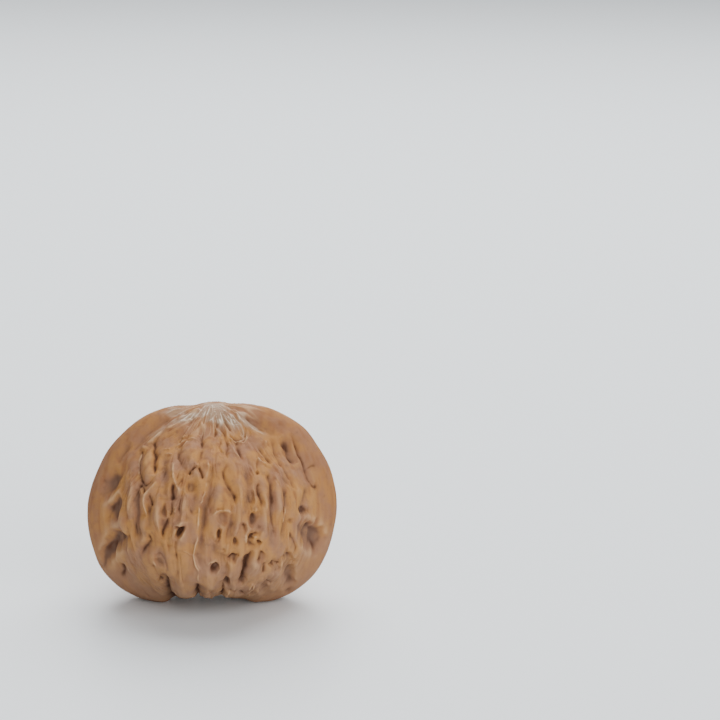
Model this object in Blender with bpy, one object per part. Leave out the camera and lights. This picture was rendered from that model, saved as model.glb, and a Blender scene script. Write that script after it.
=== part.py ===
"""A large walnut in its closed shell, standing on its base with the point up.

The two halves meet in a raised seam, a thick flange that runs all round in the XZ plane. The bellies
face -Y and +Y. The shell is one solid: a smooth form, worked out along directions from its middle,
with grooves, ridges, hollows and rounded plates raised from it or cut into it by formulas.

Lengths are in millimetres until the mesh is made, and +Z is up.
"""

import math

import bpy
import numpy as np
from mathutils import Vector, noise

# The finished shell's outer size
WIDTH = 44.8
DEPTH = 39.8
HEIGHT = 36.5
MILLIMETRE = 0.001
# Without a seed, noise_vector gives another pattern in each session.
NOISE_SEED = 1795667577

# The middle that the shell's radii are measured from, above the surface it stands on
MIDDLE_HEIGHT = 17.6

# The seam's outline in the XZ plane: degrees from +X towards +Z, and radius
SEAM_OUTLINE = (
    (0, 22.67), (10, 22.51), (20, 22.33), (30, 22.03), (40, 21.99), (50, 21.42), (60, 20.79),
    (70, 19.81), (80, 19.01), (90, 18.81), (100, 18.48), (110, 19.44), (120, 20.2), (130, 20.61),
    (140, 20.85), (150, 21.25), (160, 21.48), (170, 21.92), (180, 22.45), (190, 22.73), (200, 22.99),
    (210, 23.29), (220, 22.95), (230, 22.1), (238, 21.1), (244, 20.22), (249, 18.65), (256, 17.7),
    (270, 17.0), (284, 17.59), (289, 18.25), (293, 19.5), (299, 20.62), (305, 21.35), (315, 22.2),
    (325, 22.71), (335, 22.75), (347, 22.55),
)
# Half the flange's thickness at its root, against the same degrees
FLANGE_THICKNESS = (
    (0, 9.8), (35, 9.5), (60, 8.0), (90, 7.5), (120, 8.0), (145, 9.5), (180, 9.8), (215, 9.6),
    (238, 10.3), (250, 8.8), (270, 7.5), (288, 8.8), (301, 10.3), (325, 9.6),
)
# How far the bellies reach from the middle, and how square their section is
BELLY_WIDTH = 18.8
BELLY_DEPTH = 19.6
BELLY_RISE = 15.7
BELLY_DROP = 16.2
BELLY_POWER = 2.15
BELLY_POWER_CHANGE = 0.15
SEAM_BLEND = 1.3
SEAM_BLEND_LEVEL = 0.16
# The low point at the top: its height, its spread in degrees, and how far it gives way along the seam
POINT_HEIGHT = 0.9
POINT_SPREAD = 15.0
POINT_SEAM_LOSS = 0.75
POINT_SEAM_WIDTH = 0.14

# Relief is placed as seen square on to a belly, from a little above: u to the right of the foot's
# middle and v upwards from FOOT_RISE below it
VIEW_DISTANCE = 620.0
VIEW_ANGLE = math.radians(17.5)
FOOT_RISE = 0.4
BELLY_SIDES = ((0.0, 1.0, 0.0), (180.0, -1.0, 1.6))

# Grooves between plates: depth, core width, and the line's points
GROOVES = (
    (1.1, 0.45, (-10.5, 28.6), (-10.25, 25.6), (-10.5, 22.4)),
    (0.9, 0.45, (-12.4, 27.6), (-13.15, 24.2), (-12.6, 21.3), (-11.1, 21.3), (-10.6, 22.3)),
    (0.8, 0.45, (-13.5, 21.0), (-12.7, 20.7), (-12.15, 19.9), (-12.2, 19.0)),
    (0.7, 0.45, (-11.2, 19.2), (-10.85, 18.2), (-10.8, 17.0)),
    (1.3, 0.45, (-7.1, 21.0), (-7.3, 19.0), (-7.3, 17.0), (-7.7, 14.6), (-8.7, 12.7), (-8.9, 11.5)),
    (0.7, 0.5, (-9.7, 18.5), (-8.8, 18.35), (-7.9, 18.5)),
    (0.9, 0.6, (-11.4, 12.7), (-10.95, 11.0), (-12.2, 9.3), (-12.6, 8.5)),
    (0.8, 0.6, (-16.1, 7.2), (-15.85, 6.2), (-15.8, 5.3), (-16.05, 4.4)),
    (1.1, 0.6, (-8.1, 5.6), (-8.0, 3.0), (-6.6, 1.0)),
    (1.0, 0.45, (-1.7, 30.8), (-1.8, 28.0), (-2.1, 26.0), (-2.6, 24.3)),
    (0.9, 0.45, (-2.6, 24.3), (-3.3, 23.8), (-4.0, 23.3), (-4.3, 22.5)),
    (0.8, 0.45, (-2.5, 24.2), (-2.2, 23.3), (-1.9, 22.6), (-1.3, 21.9)),
    (0.7, 0.45, (0.9, 33.2), (0.7, 31.3), (0.4, 29.2)),
    (1.0, 0.45, (1.7, 33.6), (2.4, 31.8), (3.1, 29.9), (4.1, 28.6), (4.8, 26.6), (5.25, 24.8)),
    (0.8, 0.45, (0.9, 31.5), (2.0, 30.2), (2.65, 28.4), (2.45, 26.4), (2.6, 25.4)),
    (0.7, 0.45, (2.0, 29.2), (1.35, 28.0), (1.7, 26.5), (2.3, 26.1)),
    (0.8, 0.45, (2.35, 24.6), (1.95, 22.8), (2.6, 21.1), (3.8, 19.2), (3.8, 17.3)),
    (0.8, 0.45, (5.4, 33.1), (8.1, 31.2), (9.5, 30.2)),
    (0.8, 0.45, (8.1, 27.7), (9.5, 25.9), (10.6, 24.6)),
    (1.0, 0.7, (12.4, 29.5), (13.4, 27.7), (14.2, 25.4), (15.0, 24.7)),
    (0.9, 0.45, (14.4, 29.9), (15.3, 27.4), (16.3, 25.2), (17.0, 22.6), (17.9, 20.8), (18.5, 20.2)),
    (0.9, 0.45, (10.3, 23.3), (10.45, 21.2), (10.8, 19.0), (11.0, 16.4)),
    (0.8, 0.45, (8.7, 21.6), (8.4, 19.4), (9.0, 17.0)),
    (0.7, 0.45, (13.5, 20.6), (13.1, 18.4), (13.0, 15.8), (12.5, 13.0)),
    (0.8, 0.45, (13.9, 12.6), (14.9, 10.6), (14.9, 8.2)),
    (0.9, 0.45, (16.6, 15.6), (16.6, 14.6), (16.2, 13.9), (15.4, 13.4)),
    (0.7, 0.45, (5.6, 14.3), (5.85, 13.4), (6.0, 12.3), (6.1, 11.4)),
    (0.7, 0.45, (8.8, 12.2), (7.0, 11.9), (6.5, 10.8), (7.6, 10.2), (8.9, 11.0)),
    (1.3, 0.5, (7.3, 9.6), (6.5, 7.9), (5.7, 6.0), (5.1, 4.0), (4.9, 3.2)),
    (0.8, 0.45, (4.9, 3.6), (5.5, 4.0), (6.3, 4.3)),
    (0.8, 0.45, (9.2, 9.1), (8.7, 8.4), (8.3, 7.4)),
    (0.7, 0.45, (9.6, 7.2), (9.4, 6.2), (9.2, 5.0)),
    (0.8, 0.45, (10.4, 6.9), (11.2, 6.9), (12.3, 6.9)),
    (0.7, 0.45, (10.4, 3.4), (9.8, 3.7), (9.1, 3.5)),
    (0.9, 0.45, (2.7, 7.6), (3.75, 8.5), (5.0, 8.2)),
    (1.1, 0.45, (2.6, 4.6), (2.05, 3.0), (1.5, 1.2), (1.1, 0.3)),
    (1.4, 0.45, (-2.3, 4.2), (-2.6, 2.3), (-2.2, 0.6)),
    (0.7, 0.6, (-5.9, 11.6), (-6.5, 9.8), (-6.2, 7.6)),
    (0.8, 0.45, (3.2, 2.4), (4.0, 1.9), (4.8, 2.1), (5.6, 1.5)),
)
# Broad valleys between the long columns, and along the seam above the shoulders
VALLEYS = (
    (0.8, 0.8, (-0.2, 24.0), (-0.9, 19.0), (-1.7, 14.0), (-2.3, 8.5)),
    (0.5, 0.8, (-3.2, 23.0), (-3.3, 18.0), (-3.7, 15.5)),
    (0.7, 0.8, (6.0, 24.0), (6.4, 20.5), (6.7, 17.0), (6.5, 14.0)),
    (0.5, 0.8, (3.1, 16.0), (3.2, 13.0), (2.8, 10.5)),
    (0.8, 0.9, (10.4, 24.0), (10.9, 19.0), (10.9, 14.0), (10.6, 9.5)),
    (0.8, 0.9, (13.3, 24.5), (12.8, 15.0), (13.5, 8.5)),
    (0.9, 1.0, (17.0, 21.0), (16.5, 18.0), (16.4, 14.5)),
    (0.8, 0.9, (-13.5, 20.5), (-13.4, 16.0), (-13.0, 11.5)),
    (0.6, 0.8, (-11.4, 18.0), (-11.2, 13.0)),
    (0.8, 1.1, (-15.8, 25.5), (-16.2, 22.0), (-16.0, 18.5), (-15.9, 14.5)),
    (0.6, 0.8, (-8.7, 26.0), (-8.7, 22.0), (-8.6, 18.0)),
    (0.6, 0.8, (0.0, 10.5), (1.8, 7.9), (1.7, 4.2)),
    (0.6, 0.8, (8.1, 16.5), (8.3, 14.0), (8.9, 12.6)),
    (0.9, 0.9, (12.6, 29.2), (13.3, 27.6), (14.2, 25.8), (14.9, 24.4)),
    (0.6, 0.9, (-14.6, 28.4), (-15.8, 26.8), (-17.0, 24.4)),
    (0.8, 0.9, (-8.6, 5.8), (-8.2, 3.6), (-7.2, 1.8), (-6.4, 0.4)),
    (0.45, 0.9, (-4.5, 33.9), (-8.3, 32.4), (-11.7, 30.0), (-14.0, 27.0)),
    (0.45, 0.8, (6.2, 33.3), (8.8, 31.6), (11.5, 29.6)),
)
# Ridges that stand up from the plates: height, width, and the line's points
RIDGES = (
    (0.45, 0.4, (-1.4, 33.9), (-3.6, 33.2), (-6.4, 32.4), (-9.0, 31.1), (-10.4, 29.7), (-12.3, 28.8)),
    (0.3, 0.45, (-8.5, 33.4), (-7.3, 33.5), (-6.3, 33.8), (-5.4, 34.3)),
    (0.4, 0.5, (-10.9, 28.9), (-10.95, 27.5), (-10.95, 26.2), (-10.9, 24.6)),
    (0.4, 0.4, (-7.2, 25.4), (-7.0, 22.9), (-6.5, 20.9), (-5.9, 19.2)),
    (0.25, 0.4, (-0.65, 25.6), (-0.8, 22.6), (-1.3, 19.9)),
    (0.4, 0.4, (-1.2, 20.3), (-1.75, 18.7), (-2.25, 17.2), (-2.35, 15.0), (-2.45, 12.6), (-2.5, 11.6)),
    (0.45, 0.4, (-2.4, 12.2), (-2.95, 10.3), (-3.35, 8.2), (-2.8, 6.2), (-2.4, 4.2), (-2.3, 3.2)),
    (0.4, 1.3, (-1.6, 32.6), (-6.0, 31.2), (-9.6, 29.0)),
    (0.35, 1.2, (4.4, 32.6), (6.8, 30.6), (9.0, 28.4)),
    (0.5, 0.7, (-14.8, 22.4), (-14.9, 18.6), (-14.9, 15.4)),
    (0.4, 0.4, (-10.2, 21.8), (-11.4, 19.8), (-12.3, 17.2), (-12.2, 15.2)),
    (0.5, 0.6, (-10.2, 19.6), (-9.9, 15.6), (-9.7, 12.0), (-9.3, 10.2)),
    (0.45, 0.4, (3.5, 35.0), (4.55, 34.1), (5.3, 32.8), (7.1, 31.5), (8.4, 30.65), (9.4, 30.05)),
    (0.4, 0.4, (7.9, 29.6), (8.6, 29.3), (9.2, 28.9)),
    (0.4, 0.4, (8.3, 26.2), (8.7, 25.6), (9.4, 25.3), (10.1, 25.0)),
    (0.4, 0.4, (6.9, 12.8), (6.3, 12.2), (6.2, 11.2), (6.4, 10.0)),
    (0.4, 0.4, (7.9, 2.7), (7.5, 2.0), (7.0, 1.3), (6.5, 1.1)),
    (0.4, 0.7, (11.7, 23.5), (11.9, 18.0), (11.6, 12.4)),
    (0.4, 0.6, (9.7, 20.5), (9.8, 18.0), (10.0, 15.5), (9.9, 13.0)),
    (0.35, 0.6, (14.6, 24.0), (15.2, 21.6), (15.4, 19.2), (15.0, 17.2)),
    (0.3, 0.5, (4.9, 22.8), (5.2, 18.4), (5.2, 13.6)),
)
# Oval hollows: u, v, half width, half height, lean to the right in degrees, depth, softness of the edge
HOLLOWS = (
    (-17.7, 21.2, 1.5, 2.7, 28, 2.1, 0.9),
    (-16.9, 16.9, 1.2, 2.3, 14, 2.4, 0.85),
    (-16.4, 11.5, 1.6, 1.6, 40, 2.3, 0.8),
    (-17.9, 10.0, 1.1, 2.2, 32, 2.2, 0.9),
    (-19.0, 8.0, 0.8, 2.0, 8, 1.2, 1.0),
    (-13.5, 18.2, 0.7, 2.6, 0, 0.8, 0.9),
    (-13.5, 13.1, 0.8, 1.9, -14, 1.0, 0.8),
    (-8.7, 23.0, 0.95, 1.6, 0, 0.6, 0.8),
    (-8.6, 16.0, 0.5, 1.6, -10, 0.7, 0.7),
    (-8.7, 14.2, 0.5, 0.9, -15, 0.7, 0.7),
    (-9.3, 7.3, 0.9, 0.9, 0, 0.8, 0.8),
    (-8.9, 4.2, 0.55, 0.8, 15, 0.9, 0.5),
    (-3.9, 20.7, 0.6, 1.3, 0, 1.0, 0.5),
    (-3.4, 18.9, 0.6, 1.0, 0, 0.4, 0.9),
    (-5.5, 12.8, 0.65, 1.15, 30, 1.8, 0.55),
    (-5.9, 13.35, 0.8, 0.3, 0, 0.8, 0.7),
    (7.1, 18.9, 0.65, 1.5, -8, 0.9, 0.6),
    (7.4, 15.0, 0.8, 1.4, -5, 1.4, 0.8),
    (1.9, 15.1, 1.25, 0.95, 60, 0.8, 0.7),
    (1.25, 12.2, 0.45, 0.95, 15, 0.8, 0.6),
    (0.7, 11.1, 0.4, 0.8, 25, 0.5, 0.8),
    (4.1, 10.8, 0.45, 0.9, -10, 0.6, 0.7),
    (2.1, 9.0, 0.45, 0.6, 0, 0.45, 0.8),
    (4.0, 7.9, 0.9, 0.5, 70, 0.8, 0.5),
    (0.45, 6.4, 0.8, 0.8, 15, 1.2, 0.6),
    (2.7, 3.8, 0.6, 0.85, 10, 1.1, 0.45),
    (-0.2, 2.2, 0.5, 0.8, 0, 0.5, 0.9),
    (3.4, 13.9, 0.5, 0.8, 25, 0.5, 0.8),
    (7.0, 11.7, 0.6, 0.6, 0, 0.9, 0.5),
    (8.5, 10.8, 0.5, 0.35, 0, 0.8, 0.5),
    (6.2, 7.7, 0.6, 0.8, 10, 1.0, 0.5),
    (5.8, 6.3, 0.5, 0.9, 5, 0.9, 0.5),
    (13.2, 28.0, 0.5, 0.9, -15, 0.8, 0.6),
    (16.5, 16.6, 1.0, 0.75, 20, 1.6, 0.8),
    (16.9, 15.8, 0.6, 0.7, 0, 0.6, 0.9),
    (18.2, 20.7, 0.9, 0.5, 15, 0.7, 0.8),
    (17.2, 12.4, 2.4, 1.9, 65, 3.1, 0.8),
    (14.2, 14.5, 0.8, 0.5, 20, 0.6, 0.8),
    (14.6, 21.0, 0.6, 1.0, -20, 0.55, 0.9),
    (13.9, 7.9, 0.9, 1.2, 0, 1.2, 0.9),
    (13.6, 5.5, 1.0, 2.8, 0, 1.6, 0.9),
    (10.6, 6.6, 0.4, 0.4, 0, 1.0, 0.5),
    (11.5, 6.0, 0.8, 0.8, 0, 0.5, 0.6),
    (9.3, 2.6, 1.2, 0.9, 60, 0.6, 0.9),
    (8.2, 23.0, 0.4, 0.5, 0, 0.5, 0.7),
    (5.4, 3.6, 0.5, 0.5, 0, 0.8, 0.6),
    (11.9, 31.0, 1.8, 1.0, 0, 0.35, 0.9),
)
# Rounded plates: u, v, half width, half height, lean to the right in degrees, height
PLATES = (
    (-11.8, 24.6, 0.95, 3.2, 0, 0.75),
    (-3.6, 26.6, 1.5, 2.6, 0, 0.7),
    (-3.0, 22.8, 0.8, 1.3, 0, 0.35),
    (0.9, 19.3, 1.1, 2.4, 0, 0.35),
    (4.4, 22.6, 1.4, 2.0, 0, 0.35),
    (4.3, 30.4, 1.2, 1.1, -20, -0.25),
    (-17.3, 7.2, 1.0, 2.2, 15, 0.4),
    (-5.0, 3.9, 2.1, 3.4, 0, 0.85),
    (-0.4, 3.0, 1.3, 2.4, 0, 0.65),
    (2.3, 1.2, 0.6, 1.1, 0, 0.4),
    (3.9, 5.6, 1.1, 1.8, 0, 0.35),
    (-4.9, 11.0, 1.0, 1.8, 0, 0.3),
    (-5.2, 17.0, 1.0, 2.2, 10, 0.35),
    (8.1, 5.6, 0.9, 1.8, -10, 0.45),
    (-7.6, 10.4, 1.1, 2.6, 0, 0.5),
    (9.8, 27.4, 0.9, 1.5, -30, 0.3),
    (18.3, 22.4, 1.0, 1.6, -20, 0.3),
    (-12.5, 27.95, 0.38, 0.38, 0, 0.5),
    (9.8, 28.9, 0.4, 0.4, 0, 0.45),
)

# Section of a groove: a narrow core with sloping banks, each a share of the depth
GROOVE_REACH = 0.95
GROOVE_CORE = 0.4
GROOVE_BANK = 0.85
CORE_POWER = 1.5
# How much of a groove's or a hollow's depth is counted when it is placed
PLACED_DEPTH = 0.8
# The drawn relief is raised from the middle, with this share of its way to the sides
SIDEWAYS = 0.4
# Valleys and hollows are this much deeper than their tables say
VALLEY_SHARE = 1.2
HOLLOW_SHARE = 1.1
# How many widths from its line a stroke is worked out, how it ends, and how two strokes cross
STROKE_WIDTHS = 2.8
STROKE_END = 0.18
STROKE_END_POWER = 0.6
OVERLAP_POWER = 3.0
# Edges of hollows and plates, and how relief fades where the shell turns away
HOLLOW_INNER_EDGE = 0.9
HOLLOW_OUTER_EDGE = 0.6
PLATE_FALL = 0.9
PLATE_POWER = 2.6
TURNED_AWAY = 0.02
TURNED_TOWARD = 0.2

# Uneven growth: lines wander a little, and long pillows run from point to base, lower in front
WANDER = 0.32
WANDER_SIZE = 1.7
SIDE_WANDER_SIZE = 8.3
PILLOW_HEIGHTS = (1.0, 1.6)
PILLOW_LEVEL = 0.28
PILLOW_DETAIL = 0.3
PILLOWS_ROUND = 5.8
PILLOWS_ALONG = 2.4
PILLOW_BEND = 0.9
PILLOW_BEND_SIZE = 0.7
PILLOW_DETAIL_SIZE = 2.1
# Where pillows start and are full: how far round from the seam, and how far out from the upright axis
OFF_SEAM = (0.12, 0.5)
OFF_AXIS = (0.25, 0.6)
# Where y turns from the front to the back, and how much calmer the front's shoulders are and from where
FRONT_TO_BACK = (-4.0, 4.0)
SHOULDER_CALM = 0.6
SHOULDER_HEIGHTS = (23.0, 29.0)
SHOULDER_WIDTHS = (7.0, 12.0)
# The stem's scar below: its depth, its size as a share of the radius, and how steep its side is
SCAR_DEPTH = 0.9
SCAR_SIZE = 0.17
SCAR_POWER = 4.0

# Facets
SPHERE_LEVEL = 7
SOFTENING_ROUNDS = 3
CUTTER_SIZE = 60.0
SHARP_ANGLE = math.radians(60.0)
FACETS_KEPT = 0.134


def unit(vectors):
    """Scale each row to length one."""
    return vectors / np.linalg.norm(vectors, axis=1)[:, None]


def smooth_step(low, high, values):
    """Rise from 0 at low to 1 at high with no corner at either end."""
    share = np.clip((values - low) / (high - low), 0.0, 1.0)
    return share * share * (3.0 - 2.0 * share)


def closed_curve(table, degrees):
    """Read a smooth closed curve, given as (degrees, value), at any degrees."""
    angles = np.array([row[0] for row in table], float)
    values = np.array([row[1] for row in table], float)
    angles = np.concatenate([angles - 360.0, angles, angles + 360.0])
    values = np.tile(values, 3)
    slopes = np.gradient(values, angles)
    place = np.mod(degrees, 360.0)
    first = np.clip(np.searchsorted(angles, place, side="right") - 1, 0, len(angles) - 2)
    gap = angles[first + 1] - angles[first]
    t = (place - angles[first]) / gap
    return (
        (2 * t**3 - 3 * t**2 + 1) * values[first]
        + (t**3 - 2 * t**2 + t) * gap * slopes[first]
        + (3 * t**2 - 2 * t**3) * values[first + 1]
        + (t**3 - t**2) * gap * slopes[first + 1]
    )


def smooth_radius(directions):
    """Distance from the middle to the smooth shell: a thick flange blended with two bellies."""
    x, y, z = directions.T
    around = np.degrees(np.arctan2(z, x))
    thickness = closed_curve(FLANGE_THICKNESS, around)
    seam = closed_curve(SEAM_OUTLINE, around)
    flange = ((np.hypot(x, z) / seam) ** 2 + (y / thickness) ** 2) ** -0.5
    reach = np.where(z > 0.0, BELLY_RISE, BELLY_DROP)
    power = BELLY_POWER - BELLY_POWER_CHANGE * z
    belly = (
        np.abs(x / BELLY_WIDTH) ** power + np.abs(y / BELLY_DEPTH) ** power + np.abs(z / reach) ** power
    ) ** (-1.0 / power)
    outer = np.maximum(flange, belly)
    inner = np.minimum(flange, belly)
    fillet = np.log1p(np.exp((inner - outer) / SEAM_BLEND)) - SEAM_BLEND_LEVEL
    blended = outer + SEAM_BLEND * fillet
    from_point = np.degrees(np.arccos(np.clip(z, -1.0, 1.0)))
    off_seam = 1.0 - POINT_SEAM_LOSS * np.exp(-((y / POINT_SEAM_WIDTH) ** 2))
    return blended + POINT_HEIGHT * np.exp(-((from_point / POINT_SPREAD) ** 2)) * off_seam


def smooth_points(directions):
    """Points of the smooth shell along directions from its middle."""
    points = directions * smooth_radius(directions)[:, None]
    points[:, 2] += MIDDLE_HEIGHT
    return points


def smooth_normals(directions):
    """Outward normals of the smooth shell."""
    step = 0.001
    level = np.abs(directions[:, 2:3]) < 0.9
    helper = np.where(level, np.array([[0.0, 0.0, 1.0]]), np.array([[1.0, 0.0, 0.0]]))
    first = unit(np.cross(helper, directions))
    second = np.cross(directions, first)
    spans = []
    for side in (first * step, second * step):
        spans.append(smooth_points(unit(directions + side)) - smooth_points(unit(directions - side)))
    return unit(np.cross(*spans))


class BellyView:
    """The plane on which one belly's relief is placed, and the way from it to the shell."""

    def __init__(self, degrees, mirror, wander):
        turn = math.radians(degrees)
        self.right = np.array([math.cos(turn), math.sin(turn), 0.0])
        level = np.array([math.sin(turn), -math.cos(turn), 0.0])
        self.toward = level * math.cos(VIEW_ANGLE) + np.array([0.0, 0.0, math.sin(VIEW_ANGLE)])
        self.up = np.cross(self.toward, self.right)
        self.mirror = mirror
        self.wander = wander

    def placed(self, flat_points):
        """Hand-placed points, mirrored and let wander for the belly they are used on."""
        moved = []
        for u, v in flat_points:
            spot = Vector((u, v, 0.0)) / SIDE_WANDER_SIZE
            shift = noise.noise_vector(spot + Vector((0.0, 0.0, 3.1))) * self.wander
            moved.append((u * self.mirror + shift.x, v + shift.y))
        return np.array(moved)

    def project(self, points):
        """Where points of the shell appear on the plane."""
        scale = VIEW_DISTANCE / (VIEW_DISTANCE - points @ self.toward)
        return (points @ self.right) * scale, (points @ self.up) * scale + FOOT_RISE

    def outward(self, points):
        """The way in which the drawn relief is raised at points of the smooth shell."""
        return unit(points - [0.0, 0.0, MIDDLE_HEIGHT]) * [SIDEWAYS, 1.0, 1.0]

    def cast(self, flat_points, height):
        """The points of the smooth shell that appear at flat_points once they are raised by a height."""
        level = self.reached(flat_points)
        shown = np.array(self.project(level + self.outward(level) * height)).T
        return self.reached(2.0 * flat_points - shown)

    def reached(self, flat_points):
        """The points of the smooth shell that appear at flat_points."""
        start = flat_points[:, :1] * self.right + (flat_points[:, 1:] - FOOT_RISE) * self.up
        ray = unit(self.toward * VIEW_DISTANCE - start)
        inside = np.zeros(len(flat_points))
        outside = np.full(len(flat_points), 32.0)
        for _ in range(30):
            half = (inside + outside) / 2.0
            offset = start + ray * half[:, None] - [0.0, 0.0, MIDDLE_HEIGHT]
            held = np.linalg.norm(offset, axis=1) <= smooth_radius(unit(offset))
            inside = np.where(held, half, inside)
            outside = np.where(held, outside, half)
        return smooth_points(unit(start + ray * inside[:, None] - [0.0, 0.0, MIDDLE_HEIGHT]))


def smooth_line(corners, step=0.35):
    """A smooth line with close points through hand-placed corners."""
    corners = np.array(corners, float)
    if len(corners) == 2:
        corners = np.insert(corners, 1, corners.mean(axis=0), axis=0)
    ends = (2 * corners[0] - corners[1], 2 * corners[-1] - corners[-2])
    held = np.vstack([ends[0], corners, ends[1]])
    pieces = []
    for before, start, stop, after in zip(held, held[1:], held[2:], held[3:]):
        count = max(2, int(np.linalg.norm(stop - start) / step))
        t = np.linspace(0.0, 1.0, count, endpoint=False)[:, None]
        pieces.append(
            0.5
            * (
                2 * start
                + (stop - before) * t
                + (2 * before - 5 * start + 4 * stop - after) * t**2
                + (3 * start - before - 3 * stop + after) * t**3
            )
        )
    pieces.append(corners[-1:])
    return np.vstack(pieces)


def near_line(points, line, reach):
    """The points within reach of a line: which they are, how far off, and how far along from 0 to 1."""
    low = line.min(axis=0) - reach
    high = line.max(axis=0) + reach
    chosen = np.nonzero(np.all((points > low) & (points < high), axis=1))[0]
    spans = np.diff(line, axis=0)
    lengths = np.linalg.norm(spans, axis=1)
    starts = np.concatenate([[0.0], np.cumsum(lengths)])[:-1]
    nearest = np.full(len(chosen), reach)
    along = np.zeros(len(chosen))
    for corner, span, length, start in zip(line, spans, lengths, starts):
        offset = points[chosen] - corner
        share = np.clip((offset @ span) / length**2, 0.0, 1.0)
        distance = np.linalg.norm(offset - share[:, None] * span, axis=1)
        closer = distance < nearest
        nearest[closer] = distance[closer]
        along[closer] = start + share[closer] * length
    kept = nearest < reach
    return chosen[kept], nearest[kept], along[kept] / lengths.sum()


def overlay(total, chosen, values):
    """Add strokes so that where two cross the deeper one wins smoothly."""
    total[chosen] = (total[chosen] ** OVERLAP_POWER + values**OVERLAP_POWER) ** (1.0 / OVERLAP_POWER)


def end_fade(along):
    """1 along a stroke's middle, falling to 0 at its two ends."""
    return np.clip(np.minimum(along, 1.0 - along) / STROKE_END, 0.0, 1.0) ** STROKE_END_POWER


def oval_distance(u, v, centre, half_width, half_height, lean):
    """Distance from an oval's centre, where 1 is its outline."""
    turn = math.radians(lean)
    du = u - centre[0]
    dv = v - centre[1]
    across = du * math.cos(turn) - dv * math.sin(turn)
    along = du * math.sin(turn) + dv * math.cos(turn)
    return np.hypot(across / half_width, along / half_height)


def belly_relief(points, normals, view):
    """How one belly's relief moves each point of the smooth shell."""
    cut = np.zeros(len(points))
    hollow = np.zeros(len(points))
    ridge = np.zeros(len(points))
    plate = np.zeros(len(points))
    reach = STROKE_WIDTHS * GROOVE_REACH
    for depth, width, *corners in GROOVES:
        line = view.cast(smooth_line(view.placed(corners)), -PLACED_DEPTH * depth)
        chosen, distance, along = near_line(points, line, reach)
        core = GROOVE_CORE * np.exp(-((distance / width) ** CORE_POWER))
        bank = GROOVE_BANK * np.exp(-distance / GROOVE_REACH)
        off_middle = smooth_step(*SHOULDER_WIDTHS, np.abs(points[chosen, 0]))
        bank *= 1.0 - SHOULDER_CALM * smooth_step(*SHOULDER_HEIGHTS, points[chosen, 2]) * (1.0 - off_middle)
        ending = (1.0 - (distance / reach) ** 2) ** 2
        overlay(cut, chosen, depth * end_fade(along) * ending * (core + bank))
    for total, strokes, share in ((cut, VALLEYS, -VALLEY_SHARE), (ridge, RIDGES, 1.0)):
        for height, width, *corners in strokes:
            line = view.cast(smooth_line(view.placed(corners)), share * height)
            chosen, distance, along = near_line(points, line, STROKE_WIDTHS * width)
            rounded = np.exp(-((distance / width) ** 2))
            overlay(total, chosen, abs(share) * height * end_fade(along) * rounded)
    facing = normals @ view.toward
    front = np.nonzero(facing > TURNED_AWAY)[0]
    shown = smooth_step(TURNED_AWAY, TURNED_TOWARD, facing[front])
    flat = np.array(view.project(points[front]))
    lift = np.array(view.project(points[front] + view.outward(points[front]))) - flat
    for centre_u, centre_v, half_width, half_height, lean, depth, softness in HOLLOWS:
        centre = view.placed([(centre_u, centre_v)])[0]
        u, v = flat - lift * PLACED_DEPTH * depth
        distance = oval_distance(u, v, centre, half_width, half_height, lean * view.mirror)
        inner = 1.0 - HOLLOW_INNER_EDGE * softness
        outer = 1.0 + HOLLOW_OUTER_EDGE * softness
        bowl = 1.0 - smooth_step(inner, outer, distance)
        overlay(hollow, front, HOLLOW_SHARE * depth * shown * bowl)
    for centre_u, centre_v, half_width, half_height, lean, height in PLATES:
        centre = view.placed([(centre_u, centre_v)])[0]
        u, v = flat + lift * height
        distance = oval_distance(u, v, centre, half_width, half_height, lean * view.mirror)
        plate[front] += height * shown * np.exp(-PLATE_FALL * distance**PLATE_POWER)
    sunk = (cut**OVERLAP_POWER + hollow**OVERLAP_POWER) ** (1.0 / OVERLAP_POWER)
    return view.outward(points) * (plate + ridge - sunk)[:, None]


def wandering(points):
    """A small smooth shift at each point, so that no line runs quite true."""
    shifts = [noise.noise_vector(Vector(point) / WANDER_SIZE) for point in points]
    return np.array(shifts) * WANDER


def growth(directions, smooth):
    """Height of long pillows with sharp valleys on the bellies, less the stem's scar below."""
    x, y, z = directions.T
    ring = np.hypot(x, y)
    around = np.stack([x, y]) / np.maximum(ring, 1e-6) * PILLOWS_ROUND
    down = np.arccos(np.clip(z, -1.0, 1.0)) * PILLOWS_ALONG
    heights = np.empty(len(directions))
    for index in range(len(directions)):
        spot = Vector((around[0, index], around[1, index], down[index]))
        bend = noise.noise_vector(spot * PILLOW_BEND_SIZE)
        spot += Vector((bend.x, bend.y, 0.0)) * PILLOW_BEND
        small = abs(noise.noise(spot * PILLOW_DETAIL_SIZE))
        heights[index] = abs(noise.noise(spot)) + PILLOW_DETAIL * small - PILLOW_LEVEL
    off_seam = smooth_step(*OFF_SEAM, np.abs(y) / np.maximum(ring, 1e-6))
    off_axis = smooth_step(*OFF_AXIS, ring)
    back = smooth_step(*FRONT_TO_BACK, smooth[:, 1])
    shoulder = 1.0 - SHOULDER_CALM * smooth_step(*SHOULDER_HEIGHTS, smooth[:, 2]) * (1.0 - back)
    swell = PILLOW_HEIGHTS[0] + (PILLOW_HEIGHTS[1] - PILLOW_HEIGHTS[0]) * back
    scar = SCAR_DEPTH * np.exp(-((np.where(z < 0.0, ring, 1.0) / SCAR_SIZE) ** SCAR_POWER))
    return swell * shoulder * heights * off_seam * off_axis - scar


def shell_points(directions):
    """Points of the shell with its relief, before its two feet are cut flat."""
    smooth = smooth_points(directions)
    normals = smooth_normals(directions)
    wandered = smooth + wandering(smooth)
    points = smooth + directions * growth(directions, smooth)[:, None]
    for side in BELLY_SIDES:
        points += belly_relief(wandered, normals, BellyView(*side))
    return points


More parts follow.
